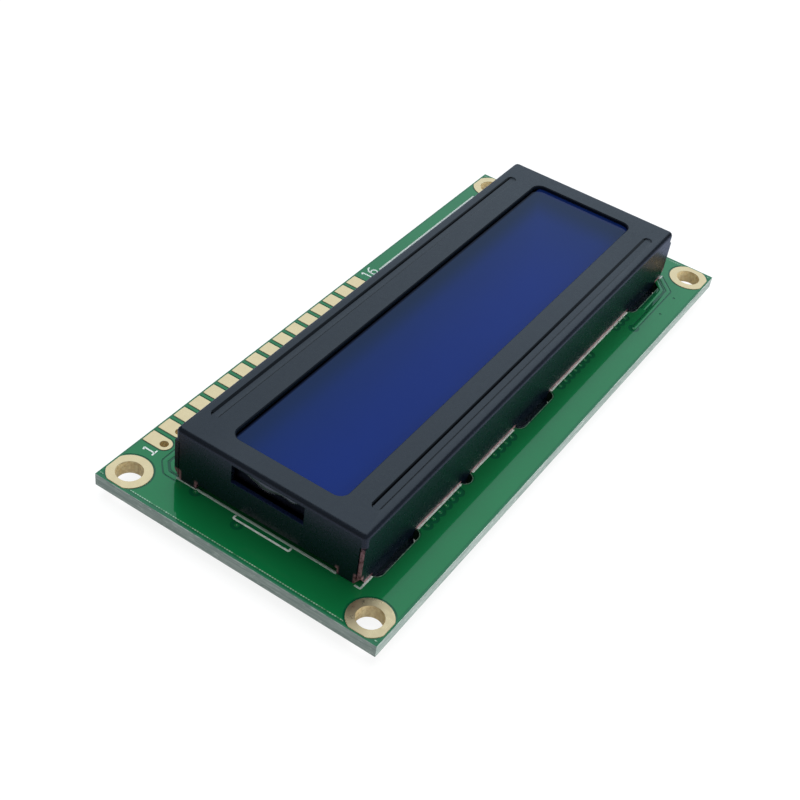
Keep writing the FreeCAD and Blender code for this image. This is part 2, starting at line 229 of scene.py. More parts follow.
def board_lacquer():
    """Lacquer on the faces, paler by the outline where light comes in through the cut edge, and
    bare laminate with its layers of fibre on the edges and in the slots."""
    material, tree, shader = new_finish("lacquer_on_laminate", {
        "Coat Roughness": 0.04, "Coat IOR": 1.5, "Specular IOR Level": 0.0,
    })
    x, y, z = object_place(tree)
    tone = mottle(tree, 160.0)
    dark = toned(lacquer_on_laminate, 0.82)
    green = blended(tree, tone, dark, lacquer_on_laminate)
    to_end = calc(tree, "SUBTRACT", half_length, calc(tree, "ABSOLUTE", x))
    to_side = calc(tree, "SUBTRACT", half_width, calc(tree, "ABSOLUTE", y))
    to_outline = calc(tree, "MINIMUM", to_end, to_side)
    green = blended(tree, ramp(tree, to_outline, 0.9 * mm, 0.1 * mm), green, lacquer_near_edge)
    layers = effect(tree, unevenness, Along_X=260.0, Along_Y=260.0, Along_Z=5200.0)
    fibres = effect(tree, unevenness, Along_X=900.0, Along_Y=900.0, Along_Z=9000.0)
    streaks = ramp(tree, fibres, 0.72, 0.95)
    cut = blended(tree, ramp(tree, layers, 0.1, 1.0, 0.0, 0.4), bare_laminate, pale_fibre)
    cut = blended(tree, streaks, cut, pale_fibre)
    chipped = mottle(tree, 420.0)
    arris = ramp(tree, z, board_front - 0.16 * mm, board_front - 0.04 * mm)
    arris = calc(tree, "MULTIPLY", arris, ramp(tree, chipped, 0.35, 0.65))
    cut = blended(tree, arris, cut, pale_fibre)
    cut = blended(tree, ramp(tree, to_outline, 0.5 * mm, 0.9 * mm), cut, slot_shade)
    edge = ramp(tree, facing(tree, 2), 0.75, 0.35)
    feed(
        tree, shader,
        Base_Color=blended(tree, edge, green, cut),
        Roughness=eased(tree, edge, 0.22, 0.66),
        Metallic=eased(tree, edge, 0.16, 0.0),
        Coat_Weight=eased(tree, edge, 0.8, 0.0),
        Normal=lacquer_relief(tree),
    )
    return material


dress(nodes["circuit_board"], board_lacquer())

# Copper layers
# Etched copper foil on both faces, under the same green lacquer, which looks paler over it.
# It stops just inside the outline and leaves a gap round each hole, slot and track.
lacquer_on_copper = (0.005, 0.160, 0.046, 1)
painted_edge_glint = (0.42, 0.56, 0.42, 1)
foil_height = 0.036 * mm
foil_inset_x = 0.45 * mm
foil_inset_y = 0.25 * mm
hole_inset = 2.5 * mm
hole_places = [
    (side_x * (half_length - hole_inset), side_y * (half_width - hole_inset))
    for side_x in (-1, 1)
    for side_y in (-1, 1)
]
hole_land_radius = 2.5 * mm
hole_bore_radius = 1.5 * mm
terminal_count = 16
terminal_pitch = 2.54 * mm
terminal_bore_radius = 0.5 * mm
terminal_land_radius = 0.925 * mm
terminal_row_y = half_width - 2.5 * mm
terminal_row_x = 8.0 * mm - half_length
terminal_places = [
    (terminal_row_x + index * terminal_pitch, terminal_row_y) for index in range(terminal_count)
]
bezel_low, bezel_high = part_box("bezel")
bezel_x = (bezel_low.x + bezel_high.x) / 2
bezel_y = (bezel_low.y + bezel_high.y) / 2
bezel_half_length = (bezel_high.x - bezel_low.x) / 2
bezel_half_width = 12.0 * mm
sheet = 0.5 * mm
wall_middle = bezel_half_width - sheet / 2
tab_pitch = 29.0 * mm
slot_places = [
    (bezel_x + step * tab_pitch, bezel_y + side * wall_middle)
    for side in (-1, 1)
    for step in (-1, 0, 1)
]
slot_length = 8.4 * mm
slot_width = 2.17 * mm
tongue_place = (bezel_x - 15.0 * mm, bezel_y - wall_middle)
tongue_hole_radius = 1.0 * mm
foil_gap = 0.22 * mm
via_gap_radius = 0.72 * mm
via_pitch = 1.27 * mm
via_row_starts = [
    (-23.5 * mm, -13.07 * mm, 6),
    (-9.45 * mm, -13.0 * mm, 4),
    (6.1 * mm, -12.95 * mm, 7),
    (20.95 * mm, -12.85 * mm, 3),
]
front_vias = [
    (x + index * via_pitch, y) for x, y, count in via_row_starts for index in range(count)
]
front_vias += [(-35.3 * mm, 8.35 * mm), (-36.25 * mm, 2.1 * mm), (22.4 * mm, -14.8 * mm)]
foil_pits = [(27.5 * mm, -16.1 * mm), (31.9 * mm, -16.0 * mm)]
foil_pit_radius = 0.17 * mm
track_width = 0.5 * mm
track_gap = 0.17 * mm
front_tracks = [
    [(22.4, -14.8), (32.75, -14.8), (35.05, -12.5), (35.05, -9.0)],
    [(26.9, -13.95), (32.35, -13.95), (34.05, -12.25), (34.05, -9.0)],
    [(-31.0, 13.75), (-33.9, 13.75), (-35.15, 12.5), (-35.15, 11.0), (-34.0, 9.9)],
    [(-31.0, 12.95), (-33.55, 12.95), (-34.3, 12.2), (-34.3, 9.0)],
]
dome_places = {}
for dome in ("controller_dome", "driver_dome"):
    low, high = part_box(dome)
    dome_places[dome] = ((low.x + high.x) / 2, (low.y + high.y) / 2, (high.x - low.x) / 2)


def new_object(name, data):
    """An object in the scene."""
    made = bpy.data.objects.new(name, data)
    bpy.context.scene.collection.objects.link(made)
    return made


def smooth(piece, degrees):
    """Smooth shading, apart from edges sharper than this."""
    piece.data.shade_smooth()
    piece.data.set_sharp_from_angle(angle=math.radians(degrees))


def closed_mesh(name, points, faces):
    """A mesh object with its normals turned outwards."""
    mesh = bpy.data.meshes.new(name)
    mesh.from_pydata(points, [], faces)
    work = bmesh.new()
    work.from_mesh(mesh)
    bmesh.ops.recalc_face_normals(work, faces=work.faces)
    work.to_mesh(mesh)
    work.free()
    return new_object(name, mesh)


def prisms(name, outlines, bottom, top):
    """Upright prisms on closed outlines, all in one mesh."""
    points = []
    faces = []
    for outline in outlines:
        first = len(points)
        count = len(outline)
        points += [(x, y, bottom) for x, y in outline]
        points += [(x, y, top) for x, y in outline]
        faces.append([first + index for index in range(count)])
        faces.append([first + count + index for index in range(count)])
        for index in range(count):
            after = (index + 1) % count
            faces.append([
                first + index, first + after, first + count + after, first + count + index,
            ])
    return closed_mesh(name, points, faces)


def slot_outline(x, y, length, width, steps=16):
    """A slot's outline along X with half-circle ends, and a circle where length is width."""
    radius = width / 2
    reach = length / 2 - radius
    outline = []
    for side in (1, -1):
        for step in range(steps + 1):
            turn = math.pi * (step / steps - 0.5)
            outline.append((
                x + side * (reach + radius * math.cos(turn)), y + side * radius * math.sin(turn),
            ))
    if reach == 0:
        outline = outline[:steps] + outline[steps + 1:-1]
    return outline


def disc_outline(x, y, radius, steps=24):
    """A circle's outline."""
    return [
        (x + radius * math.cos(2 * math.pi * step / steps),
         y + radius * math.sin(2 * math.pi * step / steps))
        for step in range(steps)
    ]


def box_outline(low_x, low_y, high_x, high_y):
    """A rectangle's outline."""
    return [(low_x, low_y), (high_x, low_y), (high_x, high_y), (low_x, high_y)]


def with_modifiers_done(piece):
    """The piece with its modifiers' result as its plain mesh."""
    bpy.context.view_layer.update()
    seen = piece.evaluated_get(bpy.context.evaluated_depsgraph_get())
    mesh = bpy.data.meshes.new_from_object(seen)
    name = piece.name
    if piece.type == "MESH":
        piece.modifiers.clear()
        piece.data = mesh
        return piece
    bpy.data.objects.remove(piece)
    return new_object(name, mesh)


def new_growth(name, sizes):
    """A geometry node tree with named inputs for its sizes and forms."""
    tree = bpy.data.node_groups.new(name, "GeometryNodeTree")
    tree.interface.new_socket("Geometry", in_out="INPUT", socket_type="NodeSocketGeometry")
    for label, kind in sizes.items():
        tree.interface.new_socket(label, in_out="INPUT", socket_type="NodeSocket" + kind)
    tree.interface.new_socket("Geometry", in_out="OUTPUT", socket_type="NodeSocketGeometry")
    return tree, tree.nodes.new("NodeGroupInput").outputs


def end_growth(tree, made, material):
    """Ends a tree in real faces of one material."""
    real = add_node(tree, "GeometryNodeRealizeInstances", {0: made}).outputs[0]
    last = add_node(tree, "GeometryNodeSetMaterial", {"Geometry": real, "Material": material})
    tree.links.new(last.outputs[0], tree.nodes.new("NodeGroupOutput").inputs[0])


def grown(carrier, tree, values):
    """The carrier's geometry after the tree, as a plain mesh."""
    modifier = carrier.modifiers.new(tree.name, "NODES")
    modifier.node_group = tree
    for item in tree.interface.items_tree:
        if item.in_out == "INPUT" and item.name in values:
            modifier[item.identifier] = values[item.name]
    return with_modifiers_done(carrier)


def ribbon_growth():
    """Flat ribbons with softly broken edges along the carrier's lines."""
    tree, given = new_growth("ribbons", {
        "Width": "Float", "Height": "Float", "Corner Radius": "Float", "Material": "Material",
    })
    rounded = add_node(tree, "GeometryNodeFilletCurve", {
        "Curve": given["Geometry"], "Radius": given["Corner Radius"], "Limit Radius": True, "Count": 5,
    }, mode="POLY")
    upright = add_node(tree, "GeometryNodeSetCurveNormal", {"Curve": rounded.outputs[0]}, mode="Z_UP")
    section = add_node(tree, "GeometryNodeCurvePrimitiveQuadrilateral", {
        "Width": given["Width"], "Height": given["Height"],
    })
    third = calc(tree, "MULTIPLY", given["Height"], 0.35)
    broken = add_node(tree, "GeometryNodeFilletCurve", {
        "Curve": section.outputs[0], "Radius": third, "Count": 2,
    }, mode="POLY")
    swept = add_node(tree, "GeometryNodeCurveToMesh", {
        "Curve": upright.outputs[0], "Profile Curve": broken.outputs[0], "Fill Caps": True,
    })
    end_growth(tree, swept.outputs[0], given["Material"])
    return tree


def lines_object(name, lines, level):
    """A curve object with one straight-sided line for each list of points."""
    curve = bpy.data.curves.new(name, "CURVE")
    curve.dimensions = "3D"
    for line in lines:
        spline = curve.splines.new("POLY")
        spline.points.add(len(line) - 1)
        for point, (x, y) in zip(spline.points, line):
            point.co = (x, y, level, 1)
    return new_object(name, curve)


def in_metres(lines):
    """Lines given in millimetres, in metres."""
    return [[(x * mm, y * mm) for x, y in line] for line in lines]


ribbons = ribbon_growth()


def ribbon_piece(name, lines, level, width, height, radius, material):
    """Flat ribbons along the lines, with rounded turns."""
    return grown(lines_object(name, lines, level), ribbons, {
        "Width": width, "Height": height, "Corner Radius": radius, "Material": material,
    })


def copper_lacquer():
    """Green over copper, with dust under it, and a painted glint, pale and broken, along the foil's edge at
    both ends.
    """
    material, tree, shader = new_finish("lacquer_on_copper", {
        "Coat Weight": 0.85, "Coat Roughness": 0.035, "Coat IOR": 1.5, "Metallic": 0.4,
        "Specular IOR Level": 0.0,
    })
    x, y = object_place(tree)[:2]
    tone = mottle(tree, 90.0)
    dark = toned(lacquer_on_copper, 0.9)
    grain = mottle(tree, 4000.0)
    dust = effect(tree, specks, Scale=420.0, Share=0.02, Size=0.05)
    green = blended(tree, tone, dark, lacquer_on_copper)
    green = blended(tree, eased(tree, dust, 0.0, 0.5), green, (0.3, 0.5, 0.42, 1))
    # Painted highlight: a pale, broken glint along the foil's edge at both ends, where the edge would catch
    # the light.
    foil_end = half_length - foil_inset_x
    rim = effect(tree, band, Value=calc(tree, "ABSOLUTE", x), Low=foil_end - 0.12 * mm,
                 High=foil_end + 0.05 * mm, Blur=0.05 * mm)
    beads = calc(tree, "SINE", calc(tree, "MULTIPLY", y, 2 * math.pi / (0.32 * mm)))
    broken = effect(tree, unevenness, Along_X=200.0, Along_Y=900.0, Along_Z=200.0)
    rim = calc(tree, "MULTIPLY", rim, ramp(tree, beads, -0.8, 0.6, 0.25, 1.0))
    rim = calc(tree, "MULTIPLY", rim, ramp(tree, broken, 0.1, 0.7, 0.15, 0.9))
    feed(
        tree, shader,
        Base_Color=blended(tree, rim, green, painted_edge_glint),
        Roughness=eased(tree, grain, 0.22, 0.27),
        Normal=lacquer_relief(tree),
    )
    return material


def copper_layer(name, inner, outer, clearances, channels, material):
    """One face's foil: a plate less the discs, slots and track channels that stay free of it."""
    bottom, top = sorted((inner, outer))
    edge_x = half_length - foil_inset_x
    edge_y = half_width - foil_inset_y
    foil = prisms(name, [box_outline(-edge_x, -edge_y, edge_x, edge_y)], bottom, top)
    gaps = prisms("foil_gaps", clearances, bottom - foil_height, top + foil_height)
    tools = [gaps]
    if channels:
        tools.append(ribbon_piece(
            "foil_channels", channels, (bottom + top) / 2,
            track_width + 2 * track_gap, 4 * foil_height, 0.5 * mm, material,
        ))
    for tool in tools:
        cut = foil.modifiers.new("gaps", "BOOLEAN")
        cut.operation = "DIFFERENCE"
        cut.solver = "EXACT"
        cut.use_self = True
        cut.object = tool
    soften = foil.modifiers.new("etched_edge", "BEVEL")
    soften.width = 0.014 * mm
    soften.segments = 2
    soften.limit_method = "ANGLE"
    soften.angle_limit = math.radians(60)
    foil = with_modifiers_done(foil)
    for tool in tools:
        bpy.data.objects.remove(tool)
    dress(foil, material)
    return foil


def terminal_gap_outline(x, y):
    """The gap round a terminal's land: half round below, straight out past the foil above."""
    radius = terminal_land_radius + track_gap
    outline = [(x + radius, half_width), (x - radius, half_width)]
    for step in range(17):
        turn = math.pi * (1 + step / 16)
        outline.append((x + radius * math.cos(turn), y + radius * math.sin(turn)))
    return outline


common_gaps = [disc_outline(x, y, hole_land_radius + foil_gap, 48) for x, y in hole_places]
common_gaps += [terminal_gap_outline(x, y) for x, y in terminal_places]
common_gaps += [
    slot_outline(x, y, slot_length + 2 * foil_gap, slot_width + 2 * foil_gap) for x, y in slot_places
]
common_gaps.append(disc_outline(*tongue_place, tongue_hole_radius + foil_gap))
copper_green = copper_lacquer()
front_gaps = common_gaps + [disc_outline(x, y, via_gap_radius) for x, y in front_vias]
front_gaps += [disc_outline(x, y, foil_pit_radius, 12) for x, y in foil_pits]
front_foil = copper_layer(
    "copper_layer_front", board_front, board_front + foil_height,
    front_gaps, in_metres(front_tracks), copper_green,
)
front_track_piece = ribbon_piece(
    "tracks_front", in_metres(front_tracks), board_front + foil_height / 2,
    track_width, foil_height, 0.5 * mm, copper_green,
)

# The milled slots and the tongue's hole have a faint rim, where the cutter chipped the lacquer.
rim_width = 0.1 * mm
rim_height = 0.02 * mm
rim_loops = [
    slot_outline(x, y, slot_length + rim_width, slot_width + rim_width) for x, y in slot_places
]
rim_loops.append(disc_outline(*tongue_place, tongue_hole_radius + rim_width / 2))


def chipped_rim():
    """Dark green, flecked with pale chips."""
    material, tree, shader = new_finish("chipped_rim", {"IOR": 1.5})
    chips = mottle(tree, 2600.0)
    feed(
        tree, shader,
        Base_Color=blended(tree, chips, (0.01, 0.07, 0.03, 1), (0.10, 0.18, 0.12, 1)),
        Roughness=eased(tree, chips, 0.4, 0.7),
        Normal=bumped(tree, chips, 0.006 * mm),
    )
    return material


slot_rims = ribbon_piece(
    "slot_rims", [loop + loop[:1] for loop in rim_loops], board_front + rim_height / 4,
    rim_width, rim_height, 0.0, chipped_rim(),
)


# On the back, tracks run from the terminals to the controller, and from the rows of vias to both
# chips, under their resin domes.
def fan_lines(places, from_y, to_y, dome, spread):
    """Tracks along Y that turn towards a dome and end under its rim."""
    dome_x, dome_y, radius = dome_places[dome]
    side = 1 if from_y > dome_y else -1
    lines = []
    for x in places:
        inner_x = dome_x + spread * (x - dome_x)
        reach = math.sqrt(max(0.0, (0.85 * radius) ** 2 - (inner_x - dome_x) ** 2))
        lines.append([(x, from_y), (x, to_y), (inner_x, dome_y + side * reach)])
    return lines


back_vias = [(x, y) for x, y in front_vias if y < -12.5 * mm]
back_tracks = fan_lines(
    [x for x, y in terminal_places[4:11]], terminal_row_y, 8.6 * mm, "controller_dome", 0.7)
back_tracks += fan_lines(
    [x for x, y in back_vias if x < -4.0 * mm], -13.0 * mm, -10.2 * mm, "controller_dome", 0.6)
back_tracks += fan_lines(
    [x for x, y in back_vias if 4.0 * mm < x < 22.0 * mm], -13.0 * mm, -10.2 * mm, "driver_dome", 0.7)
back_gaps = common_gaps + [disc_outline(x, y, via_gap_radius) for x, y in back_vias]
land_margin = 0.35 * mm
for name in nodes:
    if name.startswith(("chip_resistor", "chip_capacitor", "lead_solder")):
        low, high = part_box(name)
        back_gaps.append(box_outline(
            low.x - land_margin, low.y - 2 * land_margin, high.x + land_margin, high.y + 2 * land_margin,
        ))
back_foil = copper_layer(
    "copper_layer_back", board_back, board_back - foil_height, back_gaps, back_tracks, copper_green,
)
back_track_piece = ribbon_piece(
    "tracks_back", back_tracks, board_back - foil_height / 2,
    0.6 * track_width, foil_height, 0.5 * mm, copper_green,
)
for piece in (front_foil, front_track_piece, slot_rims, back_foil, back_track_piece):
    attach(piece, "root")

# Vias
# Small plated holes that join the two copper layers, filled and covered by the lacquer, so that
# each shows as a low ring with a dimple. They stand in rows along the bezel and beside the domes.
via_radius = 0.3 * mm
via_height = 0.02 * mm


def revolved(name, profile, steps):
    """A closed form turned about Z from radius and height pairs, from axis to axis."""
    points = [(0, 0, profile[0][1])]
    rings = profile[1:-1]
    for radius, height in rings:
        for step in range(steps):
            turn = 2 * math.pi * step / steps
            points.append((radius * math.cos(turn), radius * math.sin(turn), height))
    points.append((0, 0, profile[-1][1]))
    last = len(points) - 1
    faces = []
    for step in range(steps):
        after = (step + 1) % steps
        faces.append([0, 1 + step, 1 + after])
        for ring in range(len(rings) - 1):
            lower = 1 + ring * steps
            faces.append([lower + step, lower + steps + step, lower + steps + after, lower + after])
        top = 1 + (len(rings) - 1) * steps
        faces.append([last, top + after, top + step])
    form = closed_mesh(name, points, faces)
    form.data.shade_smooth()
    return form


def repeat_growth():
    """One form repeated on each of the carrier's points."""
    tree, given = new_growth("repeated_form", {
        "Form": "Object", "Turn": "Rotation", "Material": "Material",
    })
    form = add_node(tree, "GeometryNodeObjectInfo", {"Object": given["Form"]}).outputs["Geometry"]
    placed = add_node(tree, "GeometryNodeInstanceOnPoints", {
        "Points": given["Geometry"], "Instance": form, "Rotation": given["Turn"],
    })
    end_growth(tree, placed.outputs[0], given["Material"])
    return tree


repeated_form = repeat_growth()


def repeated(name, form, places, level, material, turn=(0, 0, 0)):
    """The form once at each place, all in one piece. The form itself isn't kept."""
    mesh = bpy.data.meshes.new(name)
    mesh.from_pydata([(x, y, level) for x, y in places], [], [])
    carrier = new_object(name, mesh)
    piece = grown(carrier, repeated_form, {"Form": form, "Turn": turn, "Material": material})
    bpy.data.objects.remove(form)
    return piece


def via_form():
    """A low ring with a dimple."""
    return revolved("via_form", [
        (0, -via_height),
        (via_radius, -via_height),
        (via_radius, foil_height),
        (0.85 * via_radius, foil_height + 0.7 * via_height),
        (0.6 * via_radius, foil_height + via_height),
        (0.4 * via_radius, foil_height + 0.6 * via_height),
        (0.2 * via_radius, foil_height - 0.4 * via_height),
        (0, foil_height - 0.8 * via_height),
    ], 16)


def via_cover():
    """Lacquer sunk in the via's mouth: thin and pale, with a shine."""
    material, tree, shader = new_finish("via_cover", {"Coat Weight": 0.8, "Coat Roughness": 0.1})
    tone = mottle(tree, 1500.0)
    feed(
        tree, shader,
        Base_Color=blended(tree, tone, (0.015, 0.10, 0.05, 1), (0.12, 0.25, 0.16, 1)),
        Roughness=eased(tree, tone, 0.25, 0.4),
        Normal=bumped(tree, tone, 0.01 * mm),
    )
    return material


def cover_form():
    """The lacquer in a via's mouth."""
    return revolved("cover_form", [
        (0, 0),
        (0.4 * via_radius, 0),
        (0.4 * via_radius, foil_height + 0.3 * via_height),
        (0, foil_height + 0.7 * via_height),
    ], 10)


front_via_piece = repeated("vias_front", via_form(), front_vias, board_front, copper_green)
via_covers = repeated("via_covers", cover_form(), front_vias, board_front, via_cover())
upside_down = (math.pi, 0, 0)
back_via_piece = repeated(
    "vias_back", via_form(), back_vias, board_back, copper_green, upside_down)
for piece in (front_via_piece, via_covers, back_via_piece):
    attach(piece, "root")

# Gold plating
# Copper, nickel and a thin layer of gold on the lands and through the bores of the four mounting
# holes and the 16 terminals. The lacquer leaves them open. The plating is one skin from face to face.
plating_lift = 0.012 * mm
plating_wall = 0.03 * mm
land_to_edge = 0.22 * mm
gold = (0.80, 0.60, 0.335, 1)
bore_reflection_gold = (0.86, 0.74, 0.44, 1)
gold_shade = (0.58, 0.42, 0.19, 1)


def land_reach(turn, radius, limits):
    """How far a land reaches at an angle: its radius, or the straight edge that cuts it.
    limits holds the distance to the straight edge at +X, +Y, -X and -Y, or None."""
    reach = radius
    for quarter, limit in enumerate(limits):
        toward = math.cos(turn - quarter * math.pi / 2)
        if limit is not None and toward > 1e-6:
            reach = min(reach, limit / toward)
    return reach


def sleeve_form(name, bore, shape, steps=64):
    """A plated sleeve: a collar on each face and the barrel between them, as one closed skin.
    shape gives the land's reach at an angle for a given inset."""
    soft = 0.02 * mm
    top = land_height + plating_lift
    thickness = board_front - board_back
    half = [
        (0, None, top - soft),
        (soft, None, top),
        (3 * soft, None, top),
        (None, 3 * soft, top),
        (None, soft, top),
        (None, 0, top - soft),
        (None, 0, -plating_lift),
        (plating_wall, None, -plating_lift),
    ]
    rows = half + [(inner, inset, -thickness - level) for inner, inset, level in reversed(half)]
    turns = sorted({round(turn, 6) for turn in shape(None, None, steps)})
    points = []
    for inner, inset, level in rows:
        for turn in turns:
            reach = bore + inner if inner is not None else shape(turn, inset, steps)
            points.append((reach * math.cos(turn), reach * math.sin(turn), level))
    count = len(turns)
    faces = []
    for row in range(len(rows)):
        here = row * count
        there = (row + 1) % len(rows) * count
        for index in range(count):
            after = (index + 1) % count
            faces.append([here + index, here + after, there + after, there + index])
    form = closed_mesh(name, points, faces)
    smooth(form, 38)
    return form


def mounting_land_shape(side_x, side_y):
    """The land of the mounting hole in one corner: a disc cut straight at the two near edges."""
    def shape(turn, inset, steps):
        cut = hole_inset - land_to_edge
        limits = [None] * 4
        radius = hole_land_radius + plating_lift
        if turn is None:
            start = math.acos(cut / radius)
            corners = [
                quarter * math.pi / 2 + way * start
                for quarter in (1 - side_x, 2 - side_y)
                for way in (-1, 1)
            ]
            even = [2 * math.pi * step / steps for step in range(steps)]
            return even + [corner % (2 * math.pi) for corner in corners]
        limits[1 - side_x] = cut + plating_lift - inset
        limits[2 - side_y] = cut + plating_lift - inset
        return land_reach(turn, radius - inset, limits)
    return shape


def terminal_land_shape(turn, inset, steps):
    """A terminal's land: half round below the bore, square above it out to the board's edge."""
    reach_out = hole_inset - land_to_edge + plating_lift
    radius = terminal_land_radius + plating_lift
    if turn is None:
        corner = math.atan2(reach_out, radius)
        even = [2 * math.pi * step / steps for step in range(steps)]
        return even + [corner, math.pi - corner]
    if math.sin(turn) <= 0:
        return radius - inset
    side = radius - inset
    limits = [side, reach_out - inset, side, None]
    return land_reach(turn, 10 * radius, limits)


def gold_plating():
    """Gold: matt and even on the lands, stained and uneven in the drilled bores, where pale, barely
    metallic gold is a painted reflection of the light the plating mirrors round the bore.
    """
    material, tree, shader = new_finish("gold_plating", {})
    tone = mottle(tree, 1400.0)
    grain = mottle(tree, 9000.0)
    stain = effect(tree, unevenness, Along_X=2200.0, Along_Y=2200.0, Along_Z=1500.0)
    # Painted reflection: the bore walls get pale gold with little metal, in place of the light mirrored
    # round the bore.
    wall = ramp(tree, facing(tree, 2), 0.8, 0.3)
    face = blended(tree, tone, gold, toned(gold, 1.06))
    feed(
        tree, shader,
        Base_Color=blended(tree, wall, face, blended(tree, stain, bore_reflection_gold, gold_shade)),
        Metallic=eased(tree, wall, 1.0, 0.15),
        Roughness=eased(tree, tone, 0.26, 0.36),
        Normal=bumped(tree, grain, 0.003 * mm),
    )
    return material


gold_finish = gold_plating()
for number, (x, y) in enumerate(hole_places, 1):
    side_x = 1 if x > 0 else -1
    side_y = 1 if y > 0 else -1
    ring = sleeve_form("hole_sleeve", hole_bore_radius - plating_lift,
                       mounting_land_shape(side_x, side_y))
    piece = repeated("mounting_hole_plating_%d" % number, ring, [(x, y)], board_front, gold_finish)
    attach(piece, "root")
sleeve = sleeve_form("terminal_sleeve", terminal_bore_radius - plating_lift, terminal_land_shape, 48)
terminal_plating = repeated("terminal_plating", sleeve, terminal_places, board_front, gold_finish)
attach(terminal_plating, "root")

# Legend
# White ink, screen printed on the lacquer: the bezel's outline where it shows, the resin port's
# place, and the numbers of the first and last terminal.
ink_height = 0.016 * mm
ink_level = board_front + foil_height + ink_height / 2
outline_width = 0.24 * mm
digit_width = 0.19 * mm
digit_height = 1.45 * mm
end_line_width = 0.34 * mm
end_line = in_metres([[(-34.98, 11.2), (-34.98, -9.6)]])
outline_lines = in_metres([
    [(-35.1, 3.0), (-35.72, 3.0), (-35.72, -4.15), (-35.1, -4.15)],
    [(-35.12, -11.9), (-35.12, -12.62), (-33.0, -12.62)],
    [(-24.55, -12.62), (-15.9, -12.62)],
    [(-13.5, -12.62), (-4.4, -12.62)],
    [(4.5, -12.62), (24.8, -12.62)],
    [(34.5, -12.62), (35.35, -12.62)],
    [(10.4, 16.2), (33.8, 16.2)],
])
digit_strokes = {
    "1": [[(-0.22, 0.88), (0.0, 1.0), (0.0, 0.0)], [(-0.32, 0.0), (0.32, 0.0)]],
    "6": [[
        (0.28, 0.97), (0.02, 0.93), (-0.2, 0.72), (-0.3, 0.42), (-0.26, 0.12), (-0.08, 0.0),
        (0.12, 0.0), (0.29, 0.13), (0.32, 0.34), (0.22, 0.52), (0.02, 0.58), (-0.18, 0.5), (-0.28, 0.36),
    ]],
}
number_places = [("1", -33.72 * mm, 15.36 * mm), ("1", 8.35 * mm, 15.98 * mm), ("6", 9.45 * mm, 15.98 * mm)]


def digit_lines(digit, x, y):
    """A digit's strokes at its place."""
    return [
        [(x + across * digit_height, y + up * digit_height) for across, up in stroke]
        for stroke in digit_strokes[digit]
    ]


def legend_ink(name, thin, full):
    """Ink that varies from thin to full cover. The long line at -X is darker: painted shade from the
    bezel's end wall over it.
    """
    material, tree, shader = new_finish(name, {"Specular IOR Level": 0.35})
    cover = mottle(tree, 3200.0)
    rough = mottle(tree, 9000.0)
    # Painted shade: near x -35 mm the ink darkens towards the lacquer's green, as in the bezel's shadow.
    bezel_shadow = effect(tree, band, Value=object_place(tree)[0], Low=-35.35 * mm, High=-34.6 * mm, Blur=0.03 * mm)
    white = blended(tree, cover, thin, full)
    feed(
        tree, shader,
        Base_Color=blended(tree, eased(tree, bezel_shadow, 0.0, 0.6), white, (0.08, 0.15, 0.11, 1)),
        Roughness=eased(tree, cover, 0.5, 0.7),
        Normal=bumped(tree, rough, 0.006 * mm),
    )
    return material


line_ink = legend_ink("legend_line_ink", (0.34, 0.42, 0.37, 1), (0.58, 0.62, 0.59, 1))
number_ink = legend_ink("legend_number_ink", (0.56, 0.66, 0.61, 1), (0.76, 0.81, 0.78, 1))
legend_lines = ribbon_piece("legend_lines", outline_lines, ink_level, outline_width, ink_height,
                            0.12 * mm, line_ink)
legend_end_line = ribbon_piece("legend_end_line", end_line, ink_level, end_line_width, ink_height,
                               0.0, line_ink)
number_lines = [line for place in number_places for line in digit_lines(*place)]
legend_numbers = ribbon_piece("legend_numbers", number_lines, ink_level, digit_width, ink_height,
                              0.04 * mm, number_ink)
for piece in (legend_lines, legend_end_line, legend_numbers):
    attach(piece, "root")

# Resin domes
# Two drops of black epoxy on the back of the board, poured over the bare controller and driver
# chips and cured. The skin is smooth and a little uneven, and the foot spreads out thin.
dome_steps = 96
dome_rings = 28


def dome_mesh(name, x, y, radius, height, seed):
    """A drop of resin: a flat crown, a round shoulder, and a rim that wanders a little."""
    points = []
    for ring in range(1, dome_rings + 1):
        climb = ring / dome_rings
        for step in range(dome_steps):
            turn = 2 * math.pi * step / dome_steps
            wander = math.sin(2 * turn + seed) + 0.6 * math.sin(3 * turn - 2 * seed)
            wander += 0.3 * math.sin(7 * turn + 3 * seed)
            reach = radius * climb * (1 - 0.012 * climb * (1.9 + wander))
            sag = height * (1 - climb ** 3.2) ** 0.62
            sag *= 1 + 0.02 * climb * math.sin(turn + seed)
            points.append((x + reach * math.cos(turn), y + reach * math.sin(turn), board_back - sag))
    crown = len(points)
    points.append((x, y, board_back - height))
    centre = len(points)
    points.append((x, y, board_back))
    faces = []
    for step in range(dome_steps):
        after = (step + 1) % dome_steps
        faces.append([crown, step, after])
        for ring in range(dome_rings - 1):
            here = ring * dome_steps
            there = here + dome_steps
            faces.append([here + step, there + step, there + after, here + after])
        rim = (dome_rings - 1) * dome_steps
        faces.append([centre, rim + after, rim + step])
    piece = closed_mesh(name, points, faces)
    smooth(piece, 50)
    return piece


def chip_resin():
    """Black epoxy with an uneven shine and a little dust."""
    material, tree, shader = new_finish("chip_resin", {"IOR": 1.52, "Coat Roughness": 0.12})
    tone = mottle(tree, 500.0)
    fine = mottle(tree, 2600.0)
    dust = effect(tree, specks, Scale=900.0, Share=0.12, Size=0.12)
    black = blended(tree, tone, (0.010, 0.010, 0.011, 1), (0.020, 0.020, 0.021, 1))
    feed(
        tree, shader,
        Base_Color=blended(tree, eased(tree, dust, 0.0, 0.25), black, (0.2, 0.2, 0.2, 1)),
        Roughness=eased(tree, tone, 0.26, 0.42),
        Coat_Weight=ramp(tree, fine, 0.2, 1.0, 0.15, 0.4),
        Normal=bumped(tree, fine, 0.003 * mm, bumped(tree, tone, 0.03 * mm)),
    )
    return material


